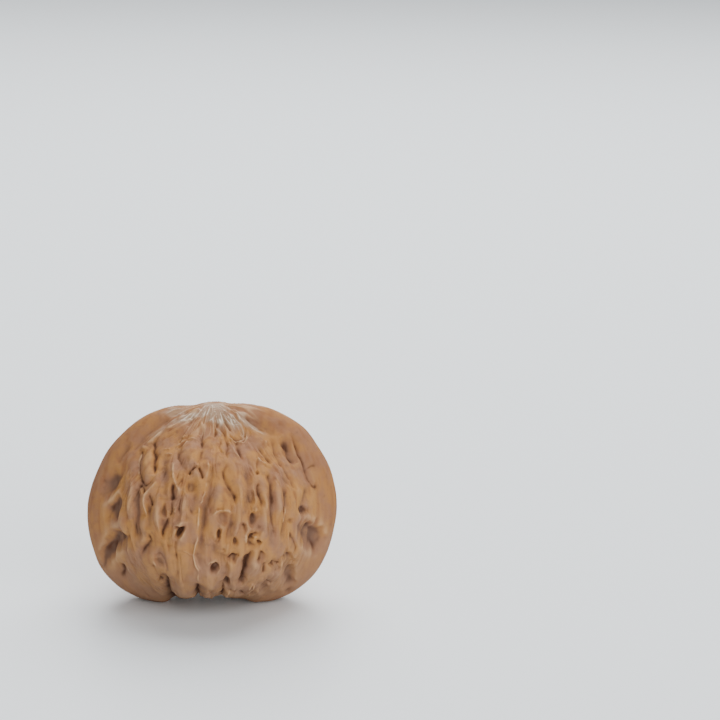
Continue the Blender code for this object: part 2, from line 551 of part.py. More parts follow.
def shell_material():
    """Dry walnut shell: a warm light brown with a dull waxy gloss."""
    material = bpy.data.materials.new("walnut_shell")
    material.use_nodes = True
    surface = material.node_tree.nodes["Principled BSDF"]
    surface.inputs["Base Color"].default_value = (0.40, 0.20, 0.085, 1.0)
    surface.inputs["Roughness"].default_value = 0.45
    surface.inputs["Metallic"].default_value = 0.0
    return material


def new_collection(name):
    """An empty collection in the scene."""
    collection = bpy.data.collections.new(name)
    bpy.context.scene.collection.children.link(collection)
    return collection


def move_to(collection, thing):
    """Put an object in one collection only."""
    for holder in thing.users_collection:
        holder.objects.unlink(thing)
    collection.objects.link(thing)


def reshape(mesh, change):
    """Pass the mesh's points through a function of an array of points."""
    places = np.empty(len(mesh.vertices) * 3)
    mesh.vertices.foreach_get("co", places)
    mesh.vertices.foreach_set("co", change(places.reshape(-1, 3)).ravel())
    mesh.update()


def fitted(points):
    """Points centred over the foot and fitted to the shell's outer size, with z kept from zero."""
    low = points.min(axis=0)
    high = points.max(axis=0)
    middle = (low + high) / 2.0
    middle[2] = low[2]
    return (points - middle) * (np.array([WIDTH, DEPTH, HEIGHT]) * MILLIMETRE / (high - low))


def foot_cutter():
    """A block that lies under the surface the shell stands on."""
    size = CUTTER_SIZE * MILLIMETRE
    bpy.ops.mesh.primitive_cube_add(size=size, location=(0.0, 0.0, -size / 2.0))
    cutter = bpy.context.active_object
    cutter.name = "foot_cutter"
    cutter.hide_render = True
    cutter.display_type = "WIRE"
    move_to(new_collection("cutters"), cutter)
    return cutter


def build_walnut():
    """Shape a finely divided sphere into the shell, thin its facets and cut its feet flat."""
    cutter = foot_cutter()
    bpy.ops.mesh.primitive_ico_sphere_add(subdivisions=SPHERE_LEVEL, radius=1.0)
    walnut = bpy.context.active_object
    walnut.name = "walnut"
    walnut.data.name = "walnut"
    move_to(new_collection("walnut"), walnut)
    reshape(walnut.data, lambda places: shell_points(unit(places)) * MILLIMETRE)
    walnut.data.materials.append(shell_material())
    softening = walnut.modifiers.new("softening", "SMOOTH")
    softening.factor = 0.5
    softening.iterations = SOFTENING_ROUNDS
    thinning = walnut.modifiers.new("thinning", "DECIMATE")
    thinning.ratio = FACETS_KEPT
    feet = walnut.modifiers.new("feet", "BOOLEAN")
    feet.operation = "DIFFERENCE"
    feet.solver = "EXACT"
    feet.object = cutter
    for name in ("softening", "thinning", "feet"):
        bpy.ops.object.modifier_apply(modifier=name)
    reshape(walnut.data, fitted)
    walnut.data.shade_smooth()
    walnut.data.set_sharp_from_angle(angle=SHARP_ANGLE)


for thing in list(bpy.data.objects):
    bpy.data.objects.remove(thing)
noise.seed_set(NOISE_SEED)
build_walnut()
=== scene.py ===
"""A large walnut in its closed shell, standing on its base with the point up, in soft studio light.

The two halves meet in a raised seam, a thick flange that runs all round in the XZ plane. The bellies
face -Y and +Y. The shell is one piece. A cube is divided finely in edit mode, its points are moved out
to a smooth form, and grooves, ridges, hollows and plates are raised from that or cut into it.

Shell lengths are in millimetres until the mesh is made. The frame is in metres, and +Z is up.
"""

import logging
import math
from dataclasses import dataclass, fields
from enum import Enum

import bpy
import numpy as np
from mathutils import Matrix, Vector, noise


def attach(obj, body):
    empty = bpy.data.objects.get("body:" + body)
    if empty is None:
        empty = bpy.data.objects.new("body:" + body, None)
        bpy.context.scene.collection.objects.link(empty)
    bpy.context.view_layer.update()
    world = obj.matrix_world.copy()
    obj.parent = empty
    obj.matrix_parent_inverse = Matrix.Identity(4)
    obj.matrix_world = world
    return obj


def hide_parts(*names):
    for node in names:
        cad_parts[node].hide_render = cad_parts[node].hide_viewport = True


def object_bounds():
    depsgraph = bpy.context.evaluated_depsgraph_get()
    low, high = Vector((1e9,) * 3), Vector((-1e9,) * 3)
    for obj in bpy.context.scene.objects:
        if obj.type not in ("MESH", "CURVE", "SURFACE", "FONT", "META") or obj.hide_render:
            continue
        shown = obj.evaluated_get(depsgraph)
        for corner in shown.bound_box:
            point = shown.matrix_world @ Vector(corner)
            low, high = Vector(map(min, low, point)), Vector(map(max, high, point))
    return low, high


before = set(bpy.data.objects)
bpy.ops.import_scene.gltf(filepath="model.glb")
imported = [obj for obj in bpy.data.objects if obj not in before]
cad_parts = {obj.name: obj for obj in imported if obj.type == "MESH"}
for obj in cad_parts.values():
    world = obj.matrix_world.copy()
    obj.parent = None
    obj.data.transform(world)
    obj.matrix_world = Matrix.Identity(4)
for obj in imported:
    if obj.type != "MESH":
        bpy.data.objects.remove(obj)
cad_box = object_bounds()

LOG = logging.getLogger("walnut")
MILLIMETRE = 0.001
# Without a seed, noise_vector gives another pattern in each session. The part's source has the same.
NOISE_SEED = 1795667577
# Added to a place, this gives a layer of noise that is unlike the others.
LIFT = Vector((7.3, 2.9, 5.1))

Array = np.ndarray
Corner = tuple[float, float]


@dataclass(frozen=True)
class Line:
    """A groove, valley or ridge drawn along a belly, with its height or depth and its half width.

    Corners lie on the belly's drawing plane, in millimetres: u to the right of the foot's middle and v
    above it, as they look square on from a little above.
    """

    height: float
    width: float
    corners: tuple[Corner, ...]


@dataclass(frozen=True)
class Oval:
    """A hollow, plate or pale patch on a belly: its place, half sizes, lean to the right and height.

    A pale patch's height is how strong it is. A hollow's softness is how broad its edge is.
    """

    u: float
    v: float
    half_width: float
    half_height: float
    lean: float
    height: float
    softness: float = 1.0


GROOVES: tuple[Line, ...] = (
    # left belly
    Line(1.1, 0.45, ((-10.5, 28.6), (-10.4, 27.0), (-10.25, 25.6), (-10.35, 24.0), (-10.5, 22.4))),
    Line(0.9, 0.4, ((-12.4, 27.6), (-12.8, 26.0), (-13.15, 24.2), (-13.1, 22.6), (-12.6, 21.3),
             (-11.9, 20.9), (-11.1, 21.3), (-10.6, 22.3))),
    Line(0.8, 0.4, ((-13.5, 21.0), (-12.7, 20.7), (-12.15, 19.9), (-12.2, 19.0))),
    Line(0.7, 0.4, ((-11.2, 19.2), (-10.85, 18.2), (-10.8, 17.0))),
    Line(1.1, 0.45, ((-7.1, 21.2), (-7.15, 20.2), (-7.2, 19.0), (-7.25, 17.8))),
    Line(0.7, 0.3, ((-7.2, 18.2), (-7.3, 17.0), (-7.45, 15.8), (-7.7, 14.8))),
    Line(1.0, 0.45, ((-7.7, 15.2), (-8.1, 14.2), (-8.6, 13.0), (-8.8, 12.0), (-8.9, 11.5))),
    Line(0.45, 0.8, ((-9.9, 18.4), (-8.8, 18.3), (-7.7, 18.5))),
    Line(0.9, 0.6, ((-11.4, 12.7), (-11.1, 11.6), (-10.95, 11.0), (-11.5, 10.1), (-12.2, 9.3),
             (-12.6, 8.5))),
    Line(0.6, 0.6, ((-10.3, 8.0), (-9.6, 8.4), (-8.9, 8.2), (-8.3, 7.3), (-8.2, 6.2))),
    Line(0.8, 0.6, ((-16.1, 7.2), (-15.85, 6.2), (-15.8, 5.3), (-16.05, 4.4))),
    Line(1.1, 0.6, ((-8.1, 5.6), (-8.15, 4.2), (-8.0, 3.0), (-7.4, 2.0), (-6.6, 1.0))),
    Line(0.5, 0.35, ((-11.0, 6.9), (-10.5, 6.2), (-10.0, 5.2), (-9.6, 4.2))),
    # oval bump and the fork below it
    Line(1.0, 0.4, ((-1.7, 30.8), (-1.8, 29.4), (-1.8, 28.0), (-1.8, 27.0), (-2.1, 26.0), (-2.3, 25.0),
             (-2.6, 24.3))),
    Line(1.1, 0.38, ((-2.6, 24.3), (-3.3, 23.8), (-4.0, 23.3), (-4.3, 22.5))),
    Line(1.0, 0.38, ((-2.5, 24.2), (-2.2, 23.3), (-1.9, 22.6), (-1.3, 21.9))),
    Line(0.5, 0.35, ((-2.3, 31.8), (-2.5, 30.6), (-2.6, 29.7))),
    Line(0.6, 0.35, ((-5.4, 29.3), (-5.8, 28.2), (-6.1, 26.8), (-5.9, 25.2), (-5.2, 24.0), (-4.6, 23.3))),
    # from the tip down
    Line(0.5, 0.25, ((0.55, 33.4), (0.6, 32.7), (0.65, 32.0), (0.7, 31.3))),
    Line(0.5, 0.3, ((-3.4, 32.9), (-3.7, 32.3), (-3.9, 31.7), (-4.3, 30.8))),
    Line(0.5, 0.25, ((-2.0, 33.3), (-1.95, 32.6), (-1.8, 32.0), (-1.7, 31.4))),
    Line(0.5, 0.25, ((2.2, 35.4), (2.7, 35.0), (3.3, 34.5), (4.1, 33.9), (4.9, 33.0))),
    Line(0.7, 0.3, ((0.9, 33.2), (0.8, 32.2), (0.7, 31.3), (0.6, 30.4), (0.4, 29.2))),
    Line(1.0, 0.32, ((1.7, 33.6), (2.0, 32.7), (2.4, 31.8), (2.8, 30.8), (3.1, 29.9), (3.4, 29.2),
             (4.1, 28.6), (4.3, 27.8), (4.8, 26.6), (5.05, 25.6), (5.25, 24.8))),
    Line(0.8, 0.3, ((0.9, 31.5), (1.5, 31.0), (2.0, 30.2), (2.4, 29.3), (2.65, 28.4), (2.65, 27.4),
             (2.45, 26.4), (2.6, 25.4))),
    Line(0.7, 0.28, ((2.0, 29.2), (1.55, 28.9), (1.35, 28.0), (1.35, 27.2), (1.7, 26.5), (2.3, 26.1))),
    Line(0.8, 0.32, ((2.35, 24.6), (2.1, 23.7), (1.95, 22.8), (2.2, 21.9), (2.6, 21.1), (3.1, 20.4),
             (3.8, 19.2), (4.1, 18.2), (3.8, 17.3))),
    Line(0.6, 0.3, ((6.4, 25.9), (6.7, 25.0), (6.8, 24.0), (6.8, 22.6), (6.9, 21.2), (6.6, 20.0))),
    Line(0.6, 0.3, ((5.6, 31.6), (5.85, 30.8), (5.8, 30.0), (5.7, 29.3))),
    Line(0.55, 0.3, ((6.15, 31.6), (6.35, 30.9), (6.6, 30.2), (6.7, 29.2))),
    Line(0.6, 0.3, ((4.1, 28.9), (4.9, 28.95), (5.7, 28.85), (6.2, 28.4))),
    # right shoulder and right belly
    Line(0.8, 0.4, ((5.4, 33.1), (6.9, 32.1), (8.1, 31.2), (8.8, 30.7), (9.5, 30.2))),
    Line(0.8, 0.45, ((8.1, 27.7), (8.8, 26.7), (9.5, 25.9), (10.2, 25.2), (10.6, 24.6))),
    Line(0.55, 0.4, ((10.5, 29.2), (11.0, 28.2), (11.25, 27.3), (11.6, 26.1), (12.1, 25.0), (12.3, 24.0))),
    Line(1.0, 0.7, ((12.4, 29.5), (13.0, 28.6), (13.4, 27.7), (13.5, 26.5), (14.2, 25.4), (15.0, 24.7))),
    Line(0.85, 0.45, ((14.4, 29.9), (14.8, 28.8), (15.3, 27.4), (15.8, 26.3), (16.3, 25.2), (16.6, 24.0),
             (17.0, 22.6), (17.3, 21.6), (17.9, 20.8), (18.5, 20.2))),
    Line(0.6, 0.4, ((16.6, 23.3), (17.3, 23.8), (18.1, 24.3), (18.9, 24.5))),
    Line(0.9, 0.4, ((10.3, 23.3), (10.2, 22.3), (10.45, 21.2), (10.5, 20.2), (10.8, 19.0), (11.1, 17.6),
             (11.0, 16.4))),
    Line(0.8, 0.4, ((8.7, 21.6), (8.3, 20.6), (8.4, 19.4), (8.8, 18.0), (9.0, 17.0))),
    Line(0.7, 0.3, ((13.5, 20.6), (13.4, 19.5), (13.1, 18.4), (12.95, 17.0), (13.0, 15.8), (12.7, 14.6),
             (12.5, 13.0))),
    Line(0.8, 0.35, ((13.9, 12.6), (14.4, 11.6), (14.9, 10.6), (15.1, 9.4), (14.9, 8.2))),
    Line(0.9, 0.4, ((16.6, 15.6), (16.6, 14.6), (16.2, 13.9), (15.4, 13.4))),
    Line(0.7, 0.35, ((5.6, 14.3), (5.85, 13.4), (6.0, 12.3), (6.1, 11.4))),
    # swirl
    Line(0.7, 0.45, ((8.8, 12.2), (7.8, 12.15), (7.0, 11.9), (6.55, 11.4), (6.5, 10.8), (6.9, 10.3),
             (7.6, 10.2), (8.2, 10.6), (8.9, 11.0))),
    # right crevice
    Line(1.1, 0.62, ((7.3, 9.6), (6.9, 8.7), (6.5, 7.9), (5.9, 7.0), (5.7, 6.0), (5.5, 5.0), (5.1, 4.0),
             (4.9, 3.2))),
    Line(0.8, 0.4, ((4.9, 3.6), (5.5, 4.0), (6.3, 4.3))),
    Line(0.8, 0.35, ((9.2, 9.1), (8.7, 8.4), (8.3, 7.4))),
    Line(0.7, 0.35, ((9.6, 7.2), (9.4, 6.2), (9.2, 5.0))),
    Line(0.8, 0.35, ((10.4, 6.9), (11.2, 6.9), (12.3, 6.9))),
    Line(0.7, 0.35, ((10.4, 3.4), (9.8, 3.7), (9.1, 3.5))),
    # V notch and lower lobes
    Line(0.9, 0.35, ((2.7, 7.6), (3.2, 8.0), (3.75, 8.5), (4.3, 8.25), (5.0, 8.2))),
    Line(1.1, 0.42, ((2.6, 4.6), (2.2, 3.9), (2.05, 3.0), (1.9, 2.0), (1.5, 1.2), (1.1, 0.3))),
    Line(1.4, 0.45, ((-2.3, 4.2), (-2.5, 3.2), (-2.6, 2.3), (-2.5, 1.5), (-2.2, 0.6))),
    Line(0.7, 0.6, ((-5.9, 11.6), (-6.35, 10.8), (-6.5, 9.8), (-6.4, 8.6), (-6.2, 7.6))),
    Line(0.5, 0.3, ((-8.2, 10.15), (-7.6, 10.15), (-7.0, 10.1))),
    Line(0.8, 0.4, ((3.2, 2.4), (4.0, 1.9), (4.8, 2.1), (5.6, 1.5))),
    Line(0.6, 0.3, ((7.6, 2.6), (7.3, 2.1), (6.9, 1.5))),
    Line(0.5, 0.35, ((-6.6, 16.0), (-5.9, 17.4), (-5.4, 18.6), (-5.2, 20.0))),
    Line(0.5, 0.35, ((-0.2, 15.4), (-0.6, 16.8), (-0.5, 18.4), (0.0, 20.0), (0.4, 21.6), (0.5, 23.0))),
    Line(0.45, 0.3, ((0.7, 16.5), (1.4, 16.55), (2.2, 16.5))),
)

VALLEYS: tuple[Line, ...] = (
    Line(0.8, 0.8, ((-0.2, 24.0), (-0.5, 21.5), (-0.9, 19.0), (-1.4, 16.5), (-1.7, 14.0), (-1.8, 11.5),
             (-2.3, 8.5))),
    Line(0.5, 0.8, ((-3.2, 23.0), (-3.3, 18.0), (-3.7, 15.5))),
    Line(0.7, 0.8, ((6.0, 24.0), (6.4, 20.5), (6.7, 17.0), (6.5, 14.0))),
    Line(0.5, 0.8, ((3.1, 16.0), (3.2, 13.0), (2.8, 10.5))),
    Line(0.8, 0.9, ((10.4, 24.0), (10.9, 19.0), (10.9, 14.0), (10.6, 9.5))),
    Line(0.8, 0.9, ((13.3, 24.5), (13.1, 19.5), (12.8, 15.0), (12.9, 11.5), (13.5, 8.5))),
    Line(0.9, 1.0, ((17.0, 21.0), (16.5, 18.0), (16.4, 14.5))),
    Line(0.8, 0.9, ((-13.5, 20.5), (-13.4, 16.0), (-13.0, 11.5))),
    Line(0.6, 0.8, ((-11.4, 18.0), (-11.2, 13.0))),
    Line(0.8, 1.1, ((-15.8, 25.5), (-16.2, 22.0), (-16.0, 18.5), (-15.9, 14.5))),
    Line(0.6, 0.8, ((-8.7, 26.0), (-8.7, 22.0), (-8.6, 18.0))),
    Line(0.6, 0.8, ((0.0, 10.5), (0.6, 8.8), (1.8, 7.9), (2.0, 6.0), (1.7, 4.2))),
    Line(0.6, 0.8, ((8.1, 16.5), (8.3, 14.0), (8.9, 12.6))),
    Line(0.9, 0.9, ((12.6, 29.2), (13.3, 27.6), (14.2, 25.8), (14.9, 24.4))),
    Line(0.6, 0.9, ((-14.6, 28.4), (-15.8, 26.8), (-17.0, 24.4))),
    Line(0.8, 0.9, ((-8.6, 5.8), (-8.2, 3.6), (-7.2, 1.8), (-6.4, 0.4))),
    Line(0.45, 0.9, ((-4.5, 33.9), (-6.5, 33.1), (-8.3, 32.4), (-10.2, 31.2), (-11.7, 30.0),
             (-13.2, 28.6), (-14.0, 27.0))),
    Line(0.45, 0.8, ((6.2, 33.3), (7.4, 32.5), (8.8, 31.6), (10.2, 30.4), (11.5, 29.6))),
)

RIDGES: tuple[Line, ...] = (
    # the fan of fine ridges below the point
    Line(0.3, 0.2, ((0.3, 34.0), (0.1, 33.4), (-0.3, 32.9), (-0.6, 32.5))),
    Line(0.25, 0.16, ((-0.8, 34.0), (-1.4, 33.5), (-1.8, 33.0), (-1.75, 32.5))),
    Line(0.3, 0.2, ((-2.1, 33.7), (-2.7, 33.2), (-3.1, 32.7))),
    Line(0.3, 0.16, ((1.0, 34.2), (1.15, 33.2), (1.3, 32.4), (1.25, 31.9))),
    Line(0.35, 0.18, ((1.6, 34.0), (1.75, 33.0), (1.85, 32.2), (1.9, 31.6))),
    Line(0.3, 0.16, ((2.0, 33.9), (2.7, 33.0), (3.4, 32.2), (4.3, 31.7), (5.1, 31.4))),
    Line(0.3, 0.16, ((2.2, 34.0), (3.2, 33.2), (4.2, 32.5), (5.0, 31.9), (5.4, 31.3))),
    Line(0.25, 0.16, ((2.3, 34.6), (3.3, 33.9), (4.2, 33.2))),
    Line(0.25, 0.16, ((2.6, 35.0), (3.4, 34.3), (4.2, 33.6), (4.8, 33.1))),
    Line(0.2, 0.14, ((0.2, 33.8), (0.35, 33.0), (0.4, 32.4))),
    Line(0.3, 0.25, ((0.9, 31.3), (1.2, 30.9), (1.7, 30.4))),
    Line(0.2, 0.16, ((-2.9, 31.6), (-2.6, 31.9), (-2.2, 32.1))),
    Line(0.2, 0.3, ((-8.6, 33.6), (-7.7, 33.65), (-6.9, 33.7), (-6.2, 34.0), (-5.4, 34.4))),
    Line(0.15, 0.22, ((-7.8, 34.6), (-7.0, 34.7), (-6.2, 34.8), (-5.5, 34.9))),
    Line(0.25, 0.2, ((8.0, 29.5), (8.7, 29.25), (9.4, 28.95))),
    Line(0.25, 0.2, ((4.5, 28.9), (5.3, 28.95), (5.9, 28.7))),
    Line(0.2, 0.2, ((3.0, 29.0), (3.3, 28.9), (3.6, 28.8))),
    Line(0.2, 0.25, ((3.7, 27.9), (3.9, 27.5), (4.1, 27.2))),
    Line(0.2, 0.2, ((6.4, 31.6), (7.1, 31.3), (7.8, 31.0))),
    Line(0.45, 0.36, ((-1.4, 33.9), (-2.4, 33.6), (-3.6, 33.2), (-5.0, 32.85), (-6.4, 32.4), (-7.9, 31.7),
             (-9.0, 31.1), (-9.7, 30.5), (-10.4, 29.7), (-11.3, 29.1), (-12.3, 28.8))),
    Line(0.3, 0.45, ((-8.5, 33.4), (-7.3, 33.5), (-6.3, 33.8), (-5.4, 34.3))),
    Line(0.25, 0.3, ((-3.7, 34.3), (-3.0, 34.5), (-2.2, 34.7))),
    Line(0.35, 0.3, ((-6.8, 28.2), (-6.0, 28.7), (-5.2, 29.1), (-4.5, 29.45), (-3.6, 29.4), (-2.8, 29.3))),
    Line(0.3, 0.25, ((-5.4, 29.7), (-4.9, 29.85), (-4.4, 30.0))),
    Line(0.3, 0.25, ((-5.5, 27.7), (-5.1, 28.3), (-4.6, 29.0))),
    Line(0.25, 0.22, ((-8.9, 27.5), (-8.3, 27.55), (-7.7, 27.5))),
    Line(0.25, 0.22, ((-8.6, 26.6), (-8.0, 26.65), (-7.3, 26.7))),
    Line(0.3, 0.25, ((-2.3, 29.9), (-2.0, 30.3), (-1.8, 30.8))),
    Line(0.4, 0.5, ((-10.9, 28.9), (-10.95, 27.5), (-10.95, 26.2), (-10.9, 24.6))),
    Line(0.35, 0.3, ((-13.0, 27.4), (-13.35, 25.8), (-13.6, 24.0), (-13.7, 22.6))),
    Line(0.4, 0.35, ((-7.2, 25.4), (-7.1, 24.2), (-7.0, 22.9), (-6.8, 21.7), (-6.5, 20.9), (-6.0, 20.3),
             (-5.9, 19.2))),
    # the pale vein down the middle
    Line(0.25, 0.4, ((-0.65, 25.6), (-0.7, 24.0), (-0.8, 22.6), (-0.95, 21.0), (-1.3, 19.9))),
    Line(0.4, 0.22, ((-1.2, 20.3), (-1.4, 19.4), (-1.75, 18.7), (-1.8, 18.0), (-2.25, 17.2), (-2.4, 16.2),
             (-2.35, 15.0), (-2.5, 13.8), (-2.45, 12.6), (-2.5, 11.6))),
    Line(0.45, 0.24, ((-2.4, 12.2), (-2.65, 11.2), (-2.95, 10.3), (-3.15, 9.2), (-3.35, 8.2), (-3.2, 7.2),
             (-2.8, 6.2), (-2.5, 5.2), (-2.4, 4.2), (-2.3, 3.2))),
    Line(0.3, 0.2, ((-3.4, 8.6), (-3.1, 7.8), (-2.7, 7.0), (-2.35, 6.0), (-2.25, 5.0))),
    Line(0.3, 0.18, ((-5.6, 8.95), (-5.0, 8.75), (-4.3, 8.65), (-3.9, 8.3), (-3.5, 8.2))),
    # the crests' rounded shoulders
    Line(0.4, 1.3, ((-1.6, 32.6), (-3.8, 31.9), (-6.0, 31.2), (-8.0, 30.3), (-9.6, 29.0))),
    Line(0.35, 1.2, ((4.4, 32.6), (5.6, 31.4), (6.8, 30.6), (8.0, 29.6), (9.0, 28.4))),
    Line(0.3, 0.25, ((-6.9, 17.2), (-6.75, 16.5), (-6.9, 15.8))),
    Line(0.3, 0.3, ((-7.0, 13.1), (-6.4, 13.5), (-5.9, 14.1), (-5.2, 14.2), (-4.5, 13.7))),
    # left flank columns
    Line(0.5, 0.7, ((-14.8, 22.4), (-14.8, 20.6), (-14.9, 18.6), (-15.0, 16.8), (-14.9, 15.4))),
    Line(0.4, 0.3, ((-10.2, 21.8), (-10.7, 20.8), (-11.4, 19.8), (-12.15, 18.8), (-12.3, 17.2),
             (-12.2, 15.2))),
    Line(0.5, 0.6, ((-10.2, 19.6), (-10.1, 17.6), (-9.9, 15.6), (-9.9, 13.8), (-9.7, 12.0), (-9.3, 10.2))),
    Line(0.3, 0.3, ((-15.7, 7.2), (-15.2, 6.1), (-14.8, 4.8))),
    Line(0.3, 0.3, ((-10.8, 7.2), (-10.3, 6.4), (-9.9, 5.5))),
    # right shoulder
    Line(0.45, 0.28, ((3.5, 35.0), (4.2, 34.7), (4.55, 34.1), (4.9, 33.4), (5.3, 32.8),
             (6.4, 32.05), (7.1, 31.5), (7.7, 31.2), (8.4, 30.65), (8.9, 30.3), (9.4, 30.05))),
    Line(0.35, 0.28, ((5.3, 32.6), (5.9, 31.9), (6.6, 31.4), (7.4, 31.1), (8.0, 30.4), (8.6, 29.8))),
    Line(0.4, 0.32, ((7.9, 29.6), (8.6, 29.3), (9.2, 28.9))),
    Line(0.4, 0.3, ((8.3, 26.2), (8.7, 25.6), (9.4, 25.3), (10.1, 25.0))),
    # tongue rim
    Line(0.35, 0.25, ((3.2, 31.6), (3.2, 30.6), (3.5, 29.8), (4.1, 29.4), (4.9, 29.2), (5.6, 29.3),
             (6.0, 29.8))),
    Line(0.3, 0.22, ((3.0, 31.9), (4.0, 32.0), (5.0, 31.9), (5.4, 31.3), (5.6, 30.5), (5.5, 29.7))),
    Line(0.35, 0.25, ((6.0, 31.2), (6.15, 30.4), (6.3, 29.6), (6.0, 28.8))),
    Line(0.3, 0.22, ((1.1, 27.0), (1.4, 26.5), (1.9, 26.15))),
    Line(0.3, 0.22, ((3.9, 28.0), (4.2, 27.0), (4.6, 26.1))),
    Line(0.35, 0.25, ((0.0, 15.2), (0.5, 15.9), (1.2, 16.25), (2.1, 16.3), (3.0, 16.1), (3.6, 15.5))),
    Line(0.35, 0.25, ((-0.8, 6.3), (-0.4, 6.9), (0.3, 7.15), (1.1, 7.35))),
    Line(0.4, 0.3, ((6.9, 12.8), (6.3, 12.2), (6.2, 11.2), (6.4, 10.0))),
    Line(0.35, 0.3, ((7.3, 11.3), (7.9, 11.3), (8.5, 11.4))),
    Line(0.35, 0.3, ((13.6, 17.2), (13.5, 16.0), (13.2, 15.0), (13.2, 13.8))),
    Line(0.4, 0.25, ((7.9, 2.7), (7.5, 2.0), (7.0, 1.3), (6.5, 1.1))),
    Line(0.35, 0.22, ((7.4, 2.9), (7.0, 2.3), (6.6, 1.6))),
    Line(0.35, 0.3, ((3.3, 1.2), (3.0, 0.8), (2.6, 0.4))),
    Line(0.4, 0.7, ((11.7, 23.5), (11.6, 21.0), (11.9, 18.0), (11.7, 15.0), (11.6, 12.4))),
    Line(0.4, 0.6, ((9.7, 20.5), (9.8, 18.0), (10.0, 15.5), (9.9, 13.0))),
    Line(0.35, 0.6, ((14.6, 24.0), (15.2, 21.6), (15.4, 19.2), (15.0, 17.2))),
    Line(0.3, 0.5, ((4.9, 22.8), (4.9, 20.6), (5.2, 18.4), (5.1, 16.2), (5.2, 13.6))),
)

HOLLOWS: tuple[Oval, ...] = (
    Oval(-17.7, 21.2, 1.5, 2.7, 28, 2.1, 0.9),
    Oval(-16.9, 16.9, 1.2, 2.3, 14, 2.4, 0.85),
    Oval(-16.4, 11.5, 1.6, 1.6, 40, 2.3, 0.8),
    Oval(-17.9, 10.0, 1.1, 2.2, 32, 2.2, 0.9),
    Oval(-19.0, 8.0, 0.8, 2.0, 8, 1.2, 1.0),
    Oval(-13.5, 18.2, 0.7, 2.6, 0, 0.8, 0.9),
    Oval(-13.5, 13.1, 0.8, 1.9, -14, 1.0, 0.8),
    Oval(-8.7, 23.0, 0.95, 1.6, 0, 0.6, 0.8),
    Oval(-8.6, 16.0, 0.5, 1.6, -10, 0.7, 0.7),
    Oval(-8.7, 14.2, 0.5, 0.9, -15, 0.7, 0.7),
    Oval(-9.3, 7.3, 0.9, 0.9, 0, 0.8, 0.8),
    Oval(-8.9, 4.2, 0.55, 0.8, 15, 0.9, 0.5),
    Oval(-3.8, 20.5, 0.85, 1.3, 0, 0.95, 0.75),
    Oval(-3.4, 18.9, 0.6, 1.0, 0, 0.4, 0.9),
    Oval(-5.5, 12.9, 0.55, 1.05, 30, 1.6, 0.65),
    Oval(-5.9, 13.35, 0.8, 0.3, 0, 0.8, 0.7),
    Oval(7.1, 18.9, 0.65, 1.5, -8, 0.9, 0.6),
    Oval(7.4, 15.0, 0.8, 1.4, -5, 1.4, 0.8),
    Oval(1.9, 15.1, 1.25, 0.95, 60, 0.8, 0.7),
    Oval(1.25, 12.2, 0.45, 0.95, 15, 0.8, 0.6),
    Oval(0.7, 11.1, 0.4, 0.8, 25, 0.5, 0.8),
    Oval(4.1, 10.8, 0.45, 0.9, -10, 0.6, 0.7),
    Oval(2.1, 9.0, 0.45, 0.6, 0, 0.45, 0.8),
    Oval(4.0, 7.9, 0.9, 0.5, 70, 0.8, 0.5),
    Oval(0.45, 6.4, 0.8, 0.8, 15, 1.2, 0.6),
    Oval(2.7, 3.8, 0.6, 0.85, 10, 1.1, 0.45),
    Oval(-0.2, 2.2, 0.5, 0.8, 0, 0.5, 0.9),
    Oval(3.4, 13.9, 0.5, 0.8, 25, 0.5, 0.8),
    Oval(7.0, 11.7, 0.6, 0.6, 0, 0.9, 0.5),
    Oval(8.5, 10.8, 0.5, 0.35, 0, 0.8, 0.5),
    Oval(6.2, 7.7, 0.6, 0.8, 10, 1.0, 0.5),
    Oval(5.8, 6.3, 0.5, 0.9, 5, 0.9, 0.5),
    Oval(13.2, 28.0, 0.5, 0.9, -15, 0.8, 0.6),
    Oval(16.5, 16.6, 1.0, 0.75, 20, 1.6, 0.8),
    Oval(16.9, 15.8, 0.6, 0.7, 0, 0.6, 0.9),
    Oval(18.2, 20.7, 0.9, 0.5, 15, 0.7, 0.8),
    Oval(17.2, 12.4, 2.4, 1.9, 65, 3.1, 0.8),
    Oval(14.2, 14.5, 0.8, 0.5, 20, 0.6, 0.8),
    Oval(14.6, 21.0, 0.6, 1.0, -20, 0.55, 0.9),
    Oval(13.9, 7.9, 0.9, 1.2, 0, 1.2, 0.9),
    Oval(13.6, 5.5, 1.0, 2.8, 0, 1.6, 0.9),
    Oval(10.6, 6.6, 0.4, 0.4, 0, 1.0, 0.5),
    Oval(11.5, 6.0, 0.8, 0.8, 0, 0.5, 0.6),
    Oval(9.3, 2.6, 1.2, 0.9, 60, 0.6, 0.9),
    Oval(8.2, 23.0, 0.4, 0.5, 0, 0.5, 0.7),
    Oval(5.4, 3.6, 0.5, 0.5, 0, 0.8, 0.6),
    Oval(11.9, 31.0, 1.8, 1.0, 0, 0.35, 0.9),
)

